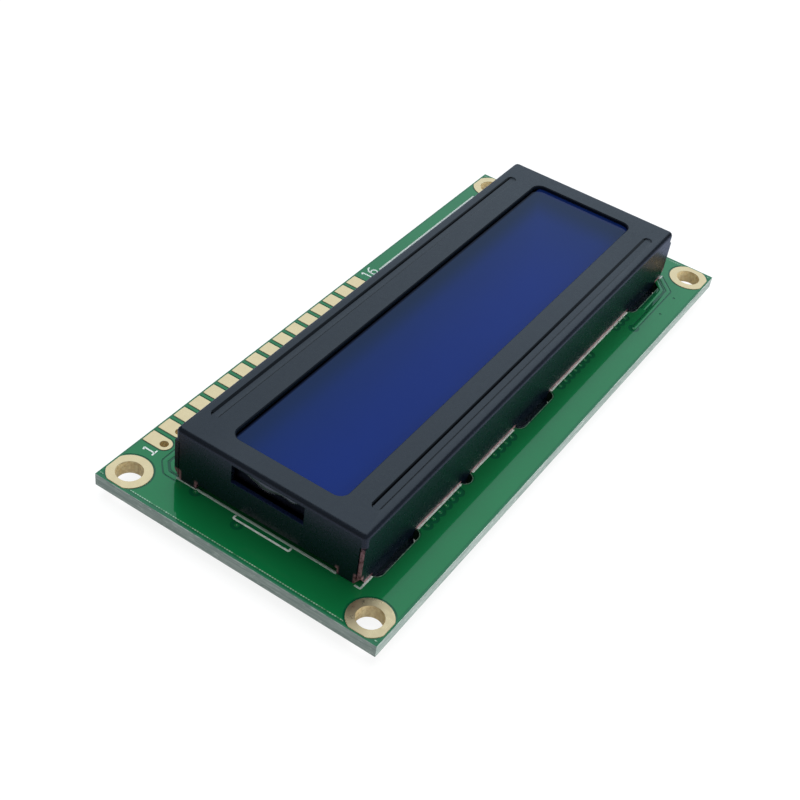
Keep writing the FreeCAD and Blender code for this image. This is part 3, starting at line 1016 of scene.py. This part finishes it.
resin = chip_resin()
for seed, (name, (x, y, radius)) in enumerate(dome_places.items(), 1):
    low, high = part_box(name)
    piece = dome_mesh(name + "_resin", x, y, radius, board_back - low.z, seed)
    dress(piece, resin)
    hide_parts(name)
    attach(piece, "root")

# Chip resistors and capacitors
# Ceramic blocks with tinned end caps, soldered on the back of the board: ladder resistors beside
# the driver, and single parts beside the domes and near the backlight leads.
resistor_names = ["chip_resistor_%d" % number for number in range(1, 8)]
capacitor_names = ["chip_capacitor_%d" % number for number in range(1, 4)]
cap_length = 0.4 * mm
chip_edge = 0.05 * mm


def middle_of(name):
    """The middle of a CAD node's box, seen from above."""
    low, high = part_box(name)
    return ((low.x + high.x) / 2, (low.y + high.y) / 2)


def soft_box(name, low, high, edge):
    """A block with rounded edges, placed by its corners."""
    outline = box_outline(low[0], low[1], high[0], high[1])
    piece = prisms(name, [outline], low[2], high[2])
    soften = piece.modifiers.new("edges", "BEVEL")
    soften.width = edge
    soften.segments = 3
    piece = with_modifiers_done(piece)
    smooth(piece, 35)
    return piece


def joined(name, pieces):
    """Several pieces as one, in the place of the first."""
    work = bmesh.new()
    for piece in pieces:
        work.from_mesh(piece.data)
    mesh = bpy.data.meshes.new(name)
    work.to_mesh(mesh)
    work.free()
    for piece in pieces:
        bpy.data.objects.remove(piece)
    return new_object(name, mesh)


def chip_body_form(length, width, height):
    """A chip part's ceramic block, a little smaller than its caps."""
    reach = length / 2 - 0.02 * mm
    side = width / 2 - 0.04 * mm
    return soft_box("chip_body", (-side, -reach, -height), (side, reach, 0), chip_edge)


def chip_cap_form(length, width, height):
    """The two tinned caps of a chip part."""
    caps = []
    for side in (-1, 1):
        near, far = sorted((side * (length / 2 - cap_length), side * length / 2))
        caps.append(soft_box("cap", (-width / 2, near, -height), (width / 2, far, 0), chip_edge))
    return joined("chip_caps", caps)


def chip_body_finish(name, top, side):
    """The body: its outward face in one colour and its ceramic sides in another."""
    material, tree, shader = new_finish(name, {"IOR": 1.5})
    tone = mottle(tree, 2400.0)
    outward = ramp(tree, facing(tree, 2), 0.6, 0.9)
    paler = toned(top, 1.25)
    feed(
        tree, shader,
        Base_Color=blended(tree, outward, side, blended(tree, tone, top, paler)),
        Roughness=eased(tree, tone, 0.3, 0.5),
        Normal=bumped(tree, tone, 0.006 * mm),
    )
    return material


def tinned_metal(name, low, high):
    """Tin, from dull to bright, with the fine grain of a frozen melt."""
    material, tree, shader = new_finish(name, {"Metallic": 1.0})
    tone = mottle(tree, 1500.0)
    grain = mottle(tree, 7000.0)
    feed(
        tree, shader,
        Base_Color=blended(tree, tone, (0.52, 0.52, 0.53, 1), (0.72, 0.72, 0.71, 1)),
        Roughness=ramp(tree, tone, 0.0, 1.0, low, high),
        Normal=bumped(tree, grain, 0.008 * mm),
    )
    return material


tin = tinned_metal("tinned_metal", 0.25, 0.45)
solder_metal = tinned_metal("solder_metal", 0.12, 0.28)
resistor_body = chip_body_finish("resistor_body", (0.012, 0.012, 0.014, 1), (0.62, 0.60, 0.56, 1))
capacitor_body = chip_body_finish("capacitor_body", (0.30, 0.19, 0.11, 1), (0.28, 0.18, 0.10, 1))
for kind, names, body_material in (
    ("resistor", resistor_names, resistor_body),
    ("capacitor", capacitor_names, capacitor_body),
):
    low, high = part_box(names[0])
    width = high.x - low.x
    length = high.y - low.y
    height = board_back - low.z
    places = [middle_of(name) for name in names]
    bodies = repeated(
        "chip_%s_bodies" % kind, chip_body_form(length, width, height - 0.04 * mm),
        places, board_back, body_material,
    )
    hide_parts(*names)
    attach(bodies, "root")
    caps = repeated(
        "chip_%s_caps" % kind, chip_cap_form(length, width, height), places, board_back, tin,
    )
    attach(caps, "root")

# Chip solder
# A shining fillet of solder at each end of each chip part: it climbs the cap in a hollow curve
# and thins out over its land.
fillet_steps = 10
solder_low, solder_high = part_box("chip_solder")


def fillet_form(name, width, run, rise, side):
    """A hollow fillet that runs out along Y from a wall at Y 0, bulging a little sideways."""
    points = []
    faces = []
    across = 9
    for step in range(fillet_steps + 1):
        share = step / fillet_steps
        out = side * run * share
        height = rise * (1 - math.sqrt(max(0.0, 1 - (1 - share) ** 2))) + 0.012 * mm
        for place in range(across):
            swing = math.pi * place / (across - 1)
            drop = math.sin(swing) ** 0.4
            points.append((width / 2 * math.cos(swing) * (1 - 0.12 * share), out, -height * drop))
    for step in range(fillet_steps):
        for place in range(across - 1):
            here = step * across + place
            faces.append([here, here + 1, here + across + 1, here + across])
    faces.append([place for place in range(across)])
    faces.append([fillet_steps * across + place for place in range(across)])
    base = [step * across for step in range(fillet_steps + 1)]
    base += [step * across + across - 1 for step in reversed(range(fillet_steps + 1))]
    faces.append(base)
    piece = closed_mesh(name, points, faces)
    smooth(piece, 50)
    return piece


chip_names = resistor_names + capacitor_names
low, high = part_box(chip_names[0])
chip_reach = (high.y - low.y) / 2
fillet_run = solder_high.y - max(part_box(name)[1].y for name in chip_names)
fillet_rise = board_back - solder_low.z
fillets = []
for side in (-1, 1):
    fillet = fillet_form("fillet", high.x - low.x, fillet_run, fillet_rise, side)
    places = [(x, y + side * chip_reach) for x, y in map(middle_of, chip_names)]
    fillets.append(repeated("fillets", fillet, places, board_back, solder_metal))
chip_fillets = joined("chip_solder_fillets", fillets)
dress(chip_fillets, solder_metal)
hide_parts("chip_solder")
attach(chip_fillets, "root")

# Backlight
# A white reflector film, a clear acrylic light guide and a milky diffuser film lie on the board
# under the glass. Three LEDs on a narrow upright board shine into the guide's end.
lead_names = ["backlight_lead_1", "backlight_lead_2"]
guide_end_shade = (0.006, 0.008, 0.012, 1)


def film_finish(name, colour, fleck, constants):
    """A film with a faint cloudiness and a few flecks."""
    material, tree, shader = new_finish(name, constants)
    cloud = mottle(tree, 300.0)
    flecks = effect(tree, specks, Scale=800.0, Share=0.15, Size=0.1)
    tint = blended(tree, cloud, toned(colour, 0.93), colour)
    feed(
        tree, shader,
        Base_Color=blended(tree, eased(tree, flecks, 0.0, 0.4), tint, fleck),
        Roughness=eased(tree, cloud, 0.35, 0.5),
        Normal=bumped(tree, cloud, 0.002 * mm),
    )
    return material


def guide_acrylic():
    """Clear, with white dots, and dark on the end at -X: painted shade."""
    material, tree, shader = new_finish("guide_acrylic", {"Transmission Weight": 0.9, "IOR": 1.49})
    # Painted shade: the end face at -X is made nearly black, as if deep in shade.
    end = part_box("light_guide")[0].x
    shaded_end = ramp(tree, object_place(tree)[0], end + 0.06 * mm, end + 0.02 * mm)
    tone = mottle(tree, 700.0)
    dots = effect(tree, specks, Scale=1400.0, Share=0.9, Size=0.3)
    clear = blended(tree, tone, (0.90, 0.93, 0.94, 1), (0.95, 0.97, 0.97, 1))
    clear = blended(tree, eased(tree, dots, 0.0, 0.3), clear, (0.8, 0.85, 0.88, 1))
    feed(
        tree, shader,
        Base_Color=blended(tree, shaded_end, clear, guide_end_shade),
        Metallic=eased(tree, shaded_end, 0.0, 0.8),
        Roughness=eased(tree, dots, 0.08, 0.35),
        Normal=bumped(tree, tone, 0.002 * mm),
    )
    return material


def strip_lacquer():
    """White lacquer, with bare laminate on the cut edges."""
    material, tree, shader = new_finish("strip_lacquer", {"IOR": 1.5})
    tone = mottle(tree, 600.0)
    fibre = effect(tree, unevenness, Along_X=5000.0, Along_Y=900.0, Along_Z=900.0)
    white = blended(tree, tone, (0.66, 0.67, 0.65, 1), (0.76, 0.77, 0.75, 1))
    laminate = blended(tree, fibre, (0.38, 0.38, 0.30, 1), (0.50, 0.50, 0.42, 1))
    edge = ramp(tree, facing(tree, 0), 0.7, 0.4)
    feed(
        tree, shader,
        Base_Color=blended(tree, edge, white, laminate),
        Roughness=eased(tree, tone, 0.3, 0.45),
        Normal=bumped(tree, tone, 0.003 * mm),
    )
    return material


def led_package():
    """A white moulded body, yellow where its lens faces the light guide."""
    material, tree, shader = new_finish("led_package", {"IOR": 1.5})
    tone = mottle(tree, 1500.0)
    lens_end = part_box("backlight_led_1")[0].x + 0.25 * mm
    lens = ramp(tree, object_place(tree)[0], lens_end + 0.05 * mm, lens_end - 0.05 * mm)
    white = blended(tree, tone, (0.72, 0.72, 0.70, 1), (0.80, 0.80, 0.78, 1))
    feed(
        tree, shader,
        Base_Color=blended(tree, lens, white, (0.72, 0.60, 0.12, 1)),
        Roughness=eased(tree, tone, 0.35, 0.55),
        Normal=bumped(tree, tone, 0.004 * mm),
    )
    return material


dress(nodes["reflector_film"], film_finish(
    "reflector_film", (0.80, 0.81, 0.82, 1), (0.6, 0.62, 0.62, 1), {}))
dress(nodes["diffuser_film"], film_finish(
    "diffuser_film", (0.74, 0.76, 0.78, 1), (0.85, 0.86, 0.86, 1), {"Transmission Weight": 0.3}))
dress(nodes["light_guide"], guide_acrylic())
dress(nodes["led_strip_board"], strip_lacquer())
package = led_package()
for name in ("backlight_led_1", "backlight_led_2", "backlight_led_3"):
    dress(nodes[name], package)
for name in lead_names:
    dress(nodes[name], tin)

# Lead solder
# Each backlight lead is soldered on the back of the board: the melt has wetted the land and the
# pin and has frozen in a smooth hollow cone.
solder_tip_radius = 0.4 * mm


def solder_cone(foot, tip, height):
    """A hollow cone from the foot's radius to the tip's."""
    rings = 14
    profile = [(0, 0)]
    for ring in range(rings + 1):
        share = ring / rings
        reach = tip + (foot - tip) * (1 - share) ** 2.4
        profile.append((reach, -height * share))
    profile.append((0, -height))
    return revolved("solder_cone", profile, 40)


for number, name in enumerate(("lead_solder_1", "lead_solder_2"), 1):
    low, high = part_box(name)
    cone = solder_cone((high.x - low.x) / 2, solder_tip_radius, board_back - low.z)
    piece = repeated(
        "lead_solder_cone_%d" % number, cone, [middle_of(name)], board_back, solder_metal)
    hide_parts(name)
    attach(piece, "root")

# Contact strips
# Two rubber strips of thin layers, black conducting ones between grey insulating ones. They stand
# on the board's contacts and carry the overhang of the front glass.
rubber_layer_pitch = 0.18 * mm


def contact_rubber():
    """Thin upright layers across the strip, black and grey in turn."""
    material, tree, shader = new_finish("contact_rubber", {"IOR": 1.45})
    layer_turn = 2 * math.pi / rubber_layer_pitch
    wave = calc(tree, "SINE", calc(tree, "MULTIPLY", object_place(tree)[0], layer_turn))
    layer = ramp(tree, wave, -0.2, 0.2)
    tone = mottle(tree, 900.0)
    grey = blended(tree, tone, (0.30, 0.29, 0.28, 1), (0.38, 0.37, 0.36, 1))
    feed(
        tree, shader,
        Base_Color=blended(tree, layer, grey, (0.015, 0.015, 0.016, 1)),
        Roughness=eased(tree, tone, 0.55, 0.75),
        Normal=bumped(tree, tone, 0.006 * mm),
    )
    return material


rubber = contact_rubber()
for name in ("contact_strip_1", "contact_strip_2"):
    dress(nodes[name], rubber)

# Display cell
# Two glass plates with ground edges, and a polarising film on each outer face. The film in the
# window is the screen: deep blue with a soft shine, with painted shade towards its far edges.
screen_blue = (0.0005, 0.0145, 0.130, 1)
screen_shaded = (0.0008, 0.0130, 0.058, 1)
strip_shade_blue = (0.003, 0.010, 0.060, 1)
screen_edge_shade = (0.0008, 0.008, 0.004, 1)
window_end = 32.5 * mm
window_side = 6.55 * mm


def polariser_finish():
    """Deep blue with a soft shine, and painted shade: darker towards +Y and +X, fading close under
    the window's far edges, a dark blue strip along the +X edge and a black strip without shine
    along the +Y edge.
    """
    material, tree, shader = new_finish("polariser_film", {"IOR": 1.24})
    cloud = effect(tree, unevenness, Along_X=70.0, Along_Y=110.0, Along_Z=70.0)
    streak = effect(tree, unevenness, Along_X=30.0, Along_Y=1800.0, Along_Z=30.0)
    dust = effect(tree, specks, Scale=260.0, Share=0.03, Size=0.02)
    x, y = object_place(tree)[:2]
    # Painted shade: the blue darkens towards +Y and +X, and fades close under the window's far edges.
    aside = ramp(tree, y, -4.0 * mm, 8.0 * mm, 0.0, 0.7)
    away = ramp(tree, x, 12.0 * mm, 36.0 * mm, 0.0, 0.6)
    darker = toned(screen_blue, 0.92)
    blue = blended(tree, cloud, darker, screen_blue)
    blue = blended(tree, calc(tree, "MAXIMUM", aside, away), blue, screen_shaded)
    blue = blended(tree, eased(tree, dust, 0.0, 0.4), blue, (0.2, 0.22, 0.3, 1))
    fade_side = ramp(tree, y, window_side - 4.0 * mm, window_side - 1.0 * mm, 0.0, 0.52)
    fade_side = calc(tree, "MULTIPLY", fade_side, ramp(tree, x, -30.0 * mm, 5.0 * mm, 0.6, 1.0))
    fade_end = ramp(tree, x, window_end - 7.0 * mm, window_end - 1.7 * mm, 0.0, 0.5)
    blue = blended(tree, calc(tree, "MAXIMUM", fade_side, fade_end), blue, screen_edge_shade)
    # Painted shade: a darker blue strip along the +X edge, and a black strip without shine along the +Y
    # edge.
    at_end = ramp(tree, x, window_end - 1.15 * mm, window_end - 0.85 * mm)
    edge_shadow = ramp(tree, y, window_side - 0.55 * mm, window_side - 0.32 * mm)
    blue = blended(tree, at_end, blue, strip_shade_blue)
    feed(
        tree, shader,
        Base_Color=blended(tree, edge_shadow, blue, (0.0008, 0.002, 0.010, 1)),
        Metallic=edge_shadow,
        Roughness=eased(tree, streak, 0.10, 0.14),
        Normal=bumped(tree, cloud, 0.002 * mm),
    )
    return material


def cell_glass():
    """Clear inside, with a fine grey grind on the cut edges."""
    material, tree, shader = new_finish("cell_glass", {"Transmission Weight": 0.85, "IOR": 1.52})
    ground = ramp(tree, facing(tree, 2), 0.8, 0.4)
    grind = mottle(tree, 5000.0)
    edge = blended(tree, grind, (0.008, 0.010, 0.016, 1), (0.012, 0.015, 0.023, 1))
    feed(
        tree, shader,
        Base_Color=blended(tree, ground, (0.86, 0.93, 0.92, 1), edge),
        Metallic=eased(tree, ground, 0.0, 0.8),
        Roughness=eased(tree, ground, 0.02, 0.5),
        Normal=bumped(tree, grind, 0.0006 * mm),
    )
    return material


film = polariser_finish()
glass = cell_glass()
for name in ("front_polariser", "rear_polariser"):
    dress(nodes[name], film)
for name in ("front_glass", "rear_glass"):
    dress(nodes[name], glass)

# End seal
# A bead of clear dark resin, dabbed over the port through which the cell was filled, and cured.
# It is thick at one side, sags in the middle, and shines through the slot in the bezel's end.
seal_low, seal_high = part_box("end_seal")
seal_spans = 48
seal_round = 16


def seal_bead():
    """A bead along Y whose section swells and sags from span to span."""
    inside = seal_high.x
    depth = seal_high.x - seal_low.x
    top = seal_high.z
    tall = seal_high.z - seal_low.z
    points = []
    for span in range(seal_spans + 1):
        share = span / seal_spans
        y = seal_low.y + (seal_high.y - seal_low.y) * share
        rounding = math.sqrt(max(0.0, 1 - (2 * share - 1) ** 8))
        swell = 0.78 + 0.14 * math.sin(5.2 * share + 0.6) + 0.06 * math.sin(13 * share)
        hang = 0.48 + 0.46 * math.exp(-((share - 0.62) / 0.17) ** 2) + 0.05 * math.sin(17 * share)
        for step in range(seal_round + 1):
            turn = math.pi * (step / seal_round - 0.5)
            out = depth * min(1.0, swell) * rounding * math.cos(turn) ** 0.7
            level = top - tall * min(1.0, hang) * rounding * (0.5 - 0.5 * math.sin(turn))
            points.append((inside - out, y, level))
    faces = []
    row = seal_round + 1
    for span in range(seal_spans):
        for step in range(seal_round):
            here = span * row + step
            faces.append([here, here + 1, here + row + 1, here + row])
        back = span * row
        faces.append([back, back + row, back + row + seal_round, back + seal_round])
    piece = closed_mesh("end_seal_bead", points, faces)
    work = bmesh.new()
    work.from_mesh(piece.data)
    bmesh.ops.remove_doubles(work, verts=work.verts, dist=0.0005 * mm)
    bmesh.ops.recalc_face_normals(work, faces=work.faces)
    work.to_mesh(piece.data)
    work.free()
    piece.data.shade_smooth()
    return piece


def seal_resin():
    """Dark resin with a wet shine."""
    material, tree, shader = new_finish("seal_resin", {
        "IOR": 1.5, "Coat Weight": 0.6, "Coat Roughness": 0.06,
    })
    tone = effect(tree, unevenness, Along_X=700.0, Along_Y=500.0, Along_Z=700.0)
    feed(
        tree, shader,
        Base_Color=blended(tree, tone, (0.036, 0.038, 0.046, 1), (0.068, 0.070, 0.080, 1)),
        Roughness=eased(tree, tone, 0.14, 0.26),
        Normal=bumped(tree, tone, 0.02 * mm),
    )
    return material


bead = seal_bead()
dress(bead, seal_resin())
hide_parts("end_seal")
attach(bead, "root")

# Bezel
# One piece of sheet steel, cut, pressed to a tray and painted satin black. Its corners are open
# seams, its tabs are twisted behind the board, and steel shows pinkish where it was cut.
paint = (0.0030, 0.0065, 0.0125, 1)
groove_shade_black = (0.001, 0.0015, 0.002, 1)
lip_reflection_blue = (0.005, 0.010, 0.036, 1)
bare_steel = (0.50, 0.27, 0.30, 1)
steel_shade = (0.16, 0.045, 0.058, 1)
groove_offset = 10.2 * mm
groove_half_length = 30.9 * mm
bezel_edge = 0.05 * mm
seam_top = 5.35 * mm
foot_edge = 9.1 * mm
port_half_length = 4.6 * mm
port_bottom = 4.0 * mm


def merged_copy(node, name):
    """A CAD node's form as a new piece, its loose triangles joined to whole faces."""
    mesh = nodes[node].data.copy()
    work = bmesh.new()
    work.from_mesh(mesh)
    bmesh.ops.remove_doubles(work, verts=work.verts, dist=0.0008 * mm)
    bmesh.ops.dissolve_limit(
        work, angle_limit=math.radians(0.4), verts=work.verts, edges=work.edges,
    )
    work.to_mesh(mesh)
    work.free()
    return new_object(name, mesh)


def paint_finish():
    """Satin black paint and bare metal at the cut edges. Painted shade makes the sides of the grooves black
    and takes shine off towards +X and +Y, and a painted reflection lays a bluish line on the port's lip.
    """
    material, tree, shader = new_finish("bezel_paint", {"IOR": 1.5})
    x, y, z = object_place(tree)
    normal = add_node(tree, "ShaderNodeTexCoord").outputs["Normal"]
    toward_y = add_node(tree, "ShaderNodeSeparateXYZ", {0: normal}).outputs[1]
    cloud = mottle(tree, 60.0)
    peel = mottle(tree, 2600.0)
    fine = mottle(tree, 9000.0)
    dust = effect(tree, specks, Scale=300.0, Share=0.12, Size=0.07)
    from_middle = apart(tree, y, bezel_y)
    along = apart(tree, x, bezel_x)
    half_y = bezel_half_width
    at_end = ramp(tree, along, bezel_half_length - 0.5 * mm, bezel_half_length - 0.4 * mm)
    faces_x = ramp(tree, facing(tree, 0), 0.45, 0.7)
    seam = effect(tree, band, Value=from_middle, Low=half_y - 0.46 * mm, High=half_y + 0.1 * mm,
                  Blur=0.12 * mm)
    seam_height = effect(tree, band, Value=z, Low=0.0, High=seam_top, Blur=0.3 * mm)
    seam = calc(tree, "MULTIPLY", calc(tree, "MULTIPLY", seam, seam_height), faces_x)
    low = ramp(tree, z, 1.6 * mm, 1.2 * mm)
    seam = calc(tree, "MULTIPLY", seam, calc(tree, "MAXIMUM", low, ramp(tree, y, 0.0, -1.0 * mm)))
    notch = ramp(tree, from_middle, half_y - 1.0 * mm, half_y - 0.8 * mm)
    seam = calc(tree, "MAXIMUM", seam, calc(tree, "MULTIPLY", notch, low))
    feet = effect(tree, band, Value=from_middle, Low=foot_edge - 0.2 * mm,
                  High=foot_edge + 0.2 * mm, Blur=0.2 * mm)
    feet_height = effect(tree, band, Value=z, Low=0.2 * mm, High=1.1 * mm, Blur=0.4 * mm)
    feet = calc(tree, "MULTIPLY", feet, feet_height)
    ends = calc(tree, "MULTIPLY", calc(tree, "MAXIMUM", seam, feet), at_end)
    side = ramp(tree, from_middle, half_y - 0.5 * mm, half_y - 0.1 * mm)
    hem = effect(tree, band, Value=z, Low=-0.1 * mm, High=0.40 * mm, Blur=0.1 * mm)
    hem = calc(tree, "MULTIPLY", hem, side)
    from_slot = apart(tree, x, bezel_x)
    from_end_slot = apart(tree, from_slot, tab_pitch)
    from_slot = calc(tree, "MINIMUM", from_slot, from_end_slot)
    hem = calc(tree, "MULTIPLY", hem, ramp(
        tree, from_slot, slot_length / 2 - 0.3 * mm, slot_length / 2 + 0.1 * mm))
    from_tongue = apart(tree, x, tongue_place[0])
    hem = calc(tree, "MULTIPLY", hem, ramp(
        tree, from_tongue, tongue_hole_radius - 0.1 * mm, tongue_hole_radius + 0.1 * mm))
    wear = mottle(tree, 1300.0)
    bare = calc(tree, "MAXIMUM", ends, hem)
    bare = calc(tree, "MULTIPLY", bare, ramp(tree, wear, 0.0, 0.45, 0.55, 1.0))
    steel = blended(tree, wear, steel_shade, bare_steel)
    dark = toned(paint, 0.85)
    black = blended(tree, cloud, dark, paint)
    black = blended(tree, eased(tree, dust, 0.0, 0.5), black, (0.35, 0.36, 0.36, 1))
    # Painted shade: black, shineless sides of the pressed grooves.
    outward = calc(tree, "SUBTRACT", from_middle, groove_offset)
    from_groove = calc(tree, "ABSOLUTE", outward)
    to_plus_y = calc(tree, "MULTIPLY", outward, calc(tree, "SIGN", calc(tree, "SUBTRACT", y, bezel_y)))
    wall = effect(tree, band, Value=to_plus_y, Low=0.355 * mm, High=0.655 * mm, Blur=0.04 * mm)
    wall = calc(tree, "MULTIPLY", wall, ramp(
        tree, along, groove_half_length + 0.1 * mm, groove_half_length - 0.1 * mm, 0.0, 0.85))
    groove_shade = ramp(tree, from_groove, 0.8 * mm, 0.7 * mm)
    groove_shade = calc(tree, "MULTIPLY", groove_shade, ramp(tree, z, 6.6 * mm, 6.7 * mm))
    near_slope = ramp(tree, toward_y, -0.12, -0.35, 0.0, 0.95)
    far_slope = ramp(tree, toward_y, 0.12, 0.35, 0.0, 0.7)
    slopes = calc(tree, "MAXIMUM", calc(tree, "MAXIMUM", near_slope, far_slope), wall)
    groove_shade = calc(tree, "MULTIPLY", groove_shade, slopes)
    # Painted shade: less shine towards +Y and towards +X.
    far_shade = calc(tree, "MAXIMUM", ramp(tree, y, 3.0 * mm, 9.0 * mm), ramp(tree, x, 18.0 * mm, 33.0 * mm))
    far_shade = calc(tree, "MULTIPLY", far_shade, 0.15)
    black = blended(tree, groove_shade, black, groove_shade_black)
    # Painted reflection: a bluish line along the cut lip under the port.
    lip = calc(tree, "MULTIPLY", at_end, ramp(tree, x, 0.0, -1.0 * mm))
    lip = calc(tree, "MULTIPLY", lip, ramp(
        tree, from_middle, port_half_length + 0.1 * mm, port_half_length))
    lip_height = effect(tree, band, Value=z, Low=port_bottom - 0.07 * mm,
                        High=port_bottom + 0.06 * mm, Blur=0.04 * mm)
    black = blended(tree, calc(tree, "MULTIPLY", lip, lip_height), black, lip_reflection_blue)
    feed(
        tree, shader,
        Base_Color=blended(tree, bare, black, steel),
        Roughness=eased(tree, peel, 0.26, 0.34),
        Metallic=calc(tree, "MAXIMUM", groove_shade, eased(tree, bare, far_shade, 0.35)),
        Normal=bumped(tree, fine, 0.0012 * mm, bumped(tree, peel, 0.003 * mm)),
    )
    return material


shell = merged_copy("bezel", "bezel_shell")
soften = shell.modifiers.new("broken_edges", "BEVEL")
soften.width = bezel_edge
soften.segments = 2
soften.limit_method = "ANGLE"
soften.angle_limit = math.radians(40)
even = shell.modifiers.new("flat_faces", "WEIGHTED_NORMAL")
even.keep_sharp = True
shell.data.shade_smooth()
shell = with_modifiers_done(shell)
dress(shell, paint_finish())
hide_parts("bezel")
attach(shell, "root")

# Stage
# A plain white floor, a large soft panel behind the module, and softer light from above, from the
# right and from below, for the back. The background is white, and the floor keeps the shadow.
floor_half = 2.0
floor_level = board_back - 1.6 * mm


def floor_finish():
    """White to the camera apart from the shade on it, bluish in reflections, open from below."""
    material, tree, shader = new_finish("floor_white", {
        "Roughness": 0.9, "Specular IOR Level": 0.1, "Emission Strength": 1.0,
    })
    cloud = mottle(tree, 9.0)
    path = add_node(tree, "ShaderNodeLightPath")
    x, y = object_place(tree)[:2]
    white = blended(tree, cloud, (0.54, 0.55, 0.56, 1), (0.56, 0.57, 0.58, 1))
    white = blended(tree, path.outputs["Is Glossy Ray"], white, (0.38, 0.42, 0.56, 1))
    seen = calc(tree, "MAXIMUM", path.outputs["Is Camera Ray"], path.outputs["Is Transmission Ray"])
    under = ramp(tree, calc(tree, "ABSOLUTE", x), 33.9 * mm, 33.4 * mm)
    under = calc(tree, "MULTIPLY", under, ramp(tree, calc(tree, "ABSOLUTE", y), 13.3 * mm, 12.9 * mm))
    share = calc(tree, "MULTIPLY", seen, eased(tree, under, 0.72, 0.1))
    back = add_node(tree, "ShaderNodeNewGeometry").outputs["Backfacing"]
    feed(
        tree, shader,
        Base_Color=blended(tree, share, white, (0, 0, 0, 1)),
        Emission_Color=blended(tree, share, (0, 0, 0, 1), (1.22, 1.22, 1.22, 1)),
        Alpha=calc(tree, "SUBTRACT", 1.0, calc(tree, "MAXIMUM", back, path.outputs["Is Shadow Ray"])),
    )
    return material


floor_mesh = bpy.data.meshes.new("floor")
floor_mesh.from_pydata(
    [(x * floor_half, y * floor_half, floor_level) for x, y in ((-1, -1), (1, -1), (1, 1), (-1, 1))],
    [], [(0, 1, 2, 3)],
)
floor = new_object("floor", floor_mesh)
dress(floor, floor_finish())


def soft_light(name, place, size, power, colour, mirrored):
    """A square area light that faces the module. Only the mirrored ones show in gloss."""
    lamp = bpy.data.lights.new(name, "AREA")
    lamp.shape = "SQUARE"
    lamp.size = size
    lamp.energy = power
    lamp.color = colour
    holder = new_object(name, lamp)
    holder.location = place
    holder.rotation_euler = (-Vector(place)).to_track_quat("-Z", "Y").to_euler()
    holder.visible_glossy = mirrored


soft_light("panel_behind", (0.53, 0.28, 0.53), 0.9, 2.4, (0.80, 1.0, 1.20), True)
soft_light("light_above", (0.05, 0.03, 0.6), 0.5, 2.5, (1.0, 1.0, 1.0), False)
soft_light("light_right", (0.05, -0.62, 0.16), 0.35, 2.3, (1.0, 1.0, 1.0), False)
soft_light("light_below", (0.10, -0.25, -0.5), 0.5, 2.2, (1.0, 1.0, 1.0), False)

world = bpy.data.worlds.new("studio")
bpy.context.scene.world = world
world.use_nodes = True
sky = world.node_tree
path = add_node(sky, "ShaderNodeLightPath")
seen = calc(sky, "MAXIMUM", path.outputs["Is Camera Ray"], path.outputs["Is Transmission Ray"])
strength = ramp(sky, seen, 0.0, 1.0, 0.4, 1.0)
strength = calc(sky, "SUBTRACT", strength, calc(sky, "MULTIPLY", path.outputs["Is Glossy Ray"], 0.26))
background = sky.nodes["Background"]
background.inputs["Color"].default_value = (1, 1, 1, 1)
sky.links.new(strength, background.inputs["Strength"])
bpy.context.scene.view_settings.view_transform = "Standard"

# Camera
# It looks at the end nearest terminal 1 from 41 degrees above, rolled by 9 degrees, as in the photo.
camera_turn = 62.264
camera_height = 41.089
camera_roll = 9.115
camera_distance = 159.873 * mm
camera_target = Vector((-8.845 * mm, 0.125 * mm, 0))
camera_lens = 62.423

turn = math.radians(camera_turn)
height = math.radians(camera_height)
roll = math.radians(camera_roll)
ahead = Vector((
    math.sin(turn) * math.cos(height), math.cos(turn) * math.cos(height), -math.sin(height),
))
level_right = Vector((math.cos(turn), -math.sin(turn), 0))
level_up = level_right.cross(ahead)
right = math.cos(roll) * level_right + math.sin(roll) * level_up
up = -math.sin(roll) * level_right + math.cos(roll) * level_up
camera_data = bpy.data.cameras.new("camera")
camera_data.lens = camera_lens
camera_data.sensor_width = 36
camera_data.clip_start = 0.01
camera_data.clip_end = 20
camera = new_object("camera", camera_data)
facing_matrix = Matrix((right, up, -ahead)).transposed().to_4x4()
camera.matrix_world = Matrix.Translation(camera_target - camera_distance * ahead) @ facing_matrix
bpy.context.scene.camera = camera
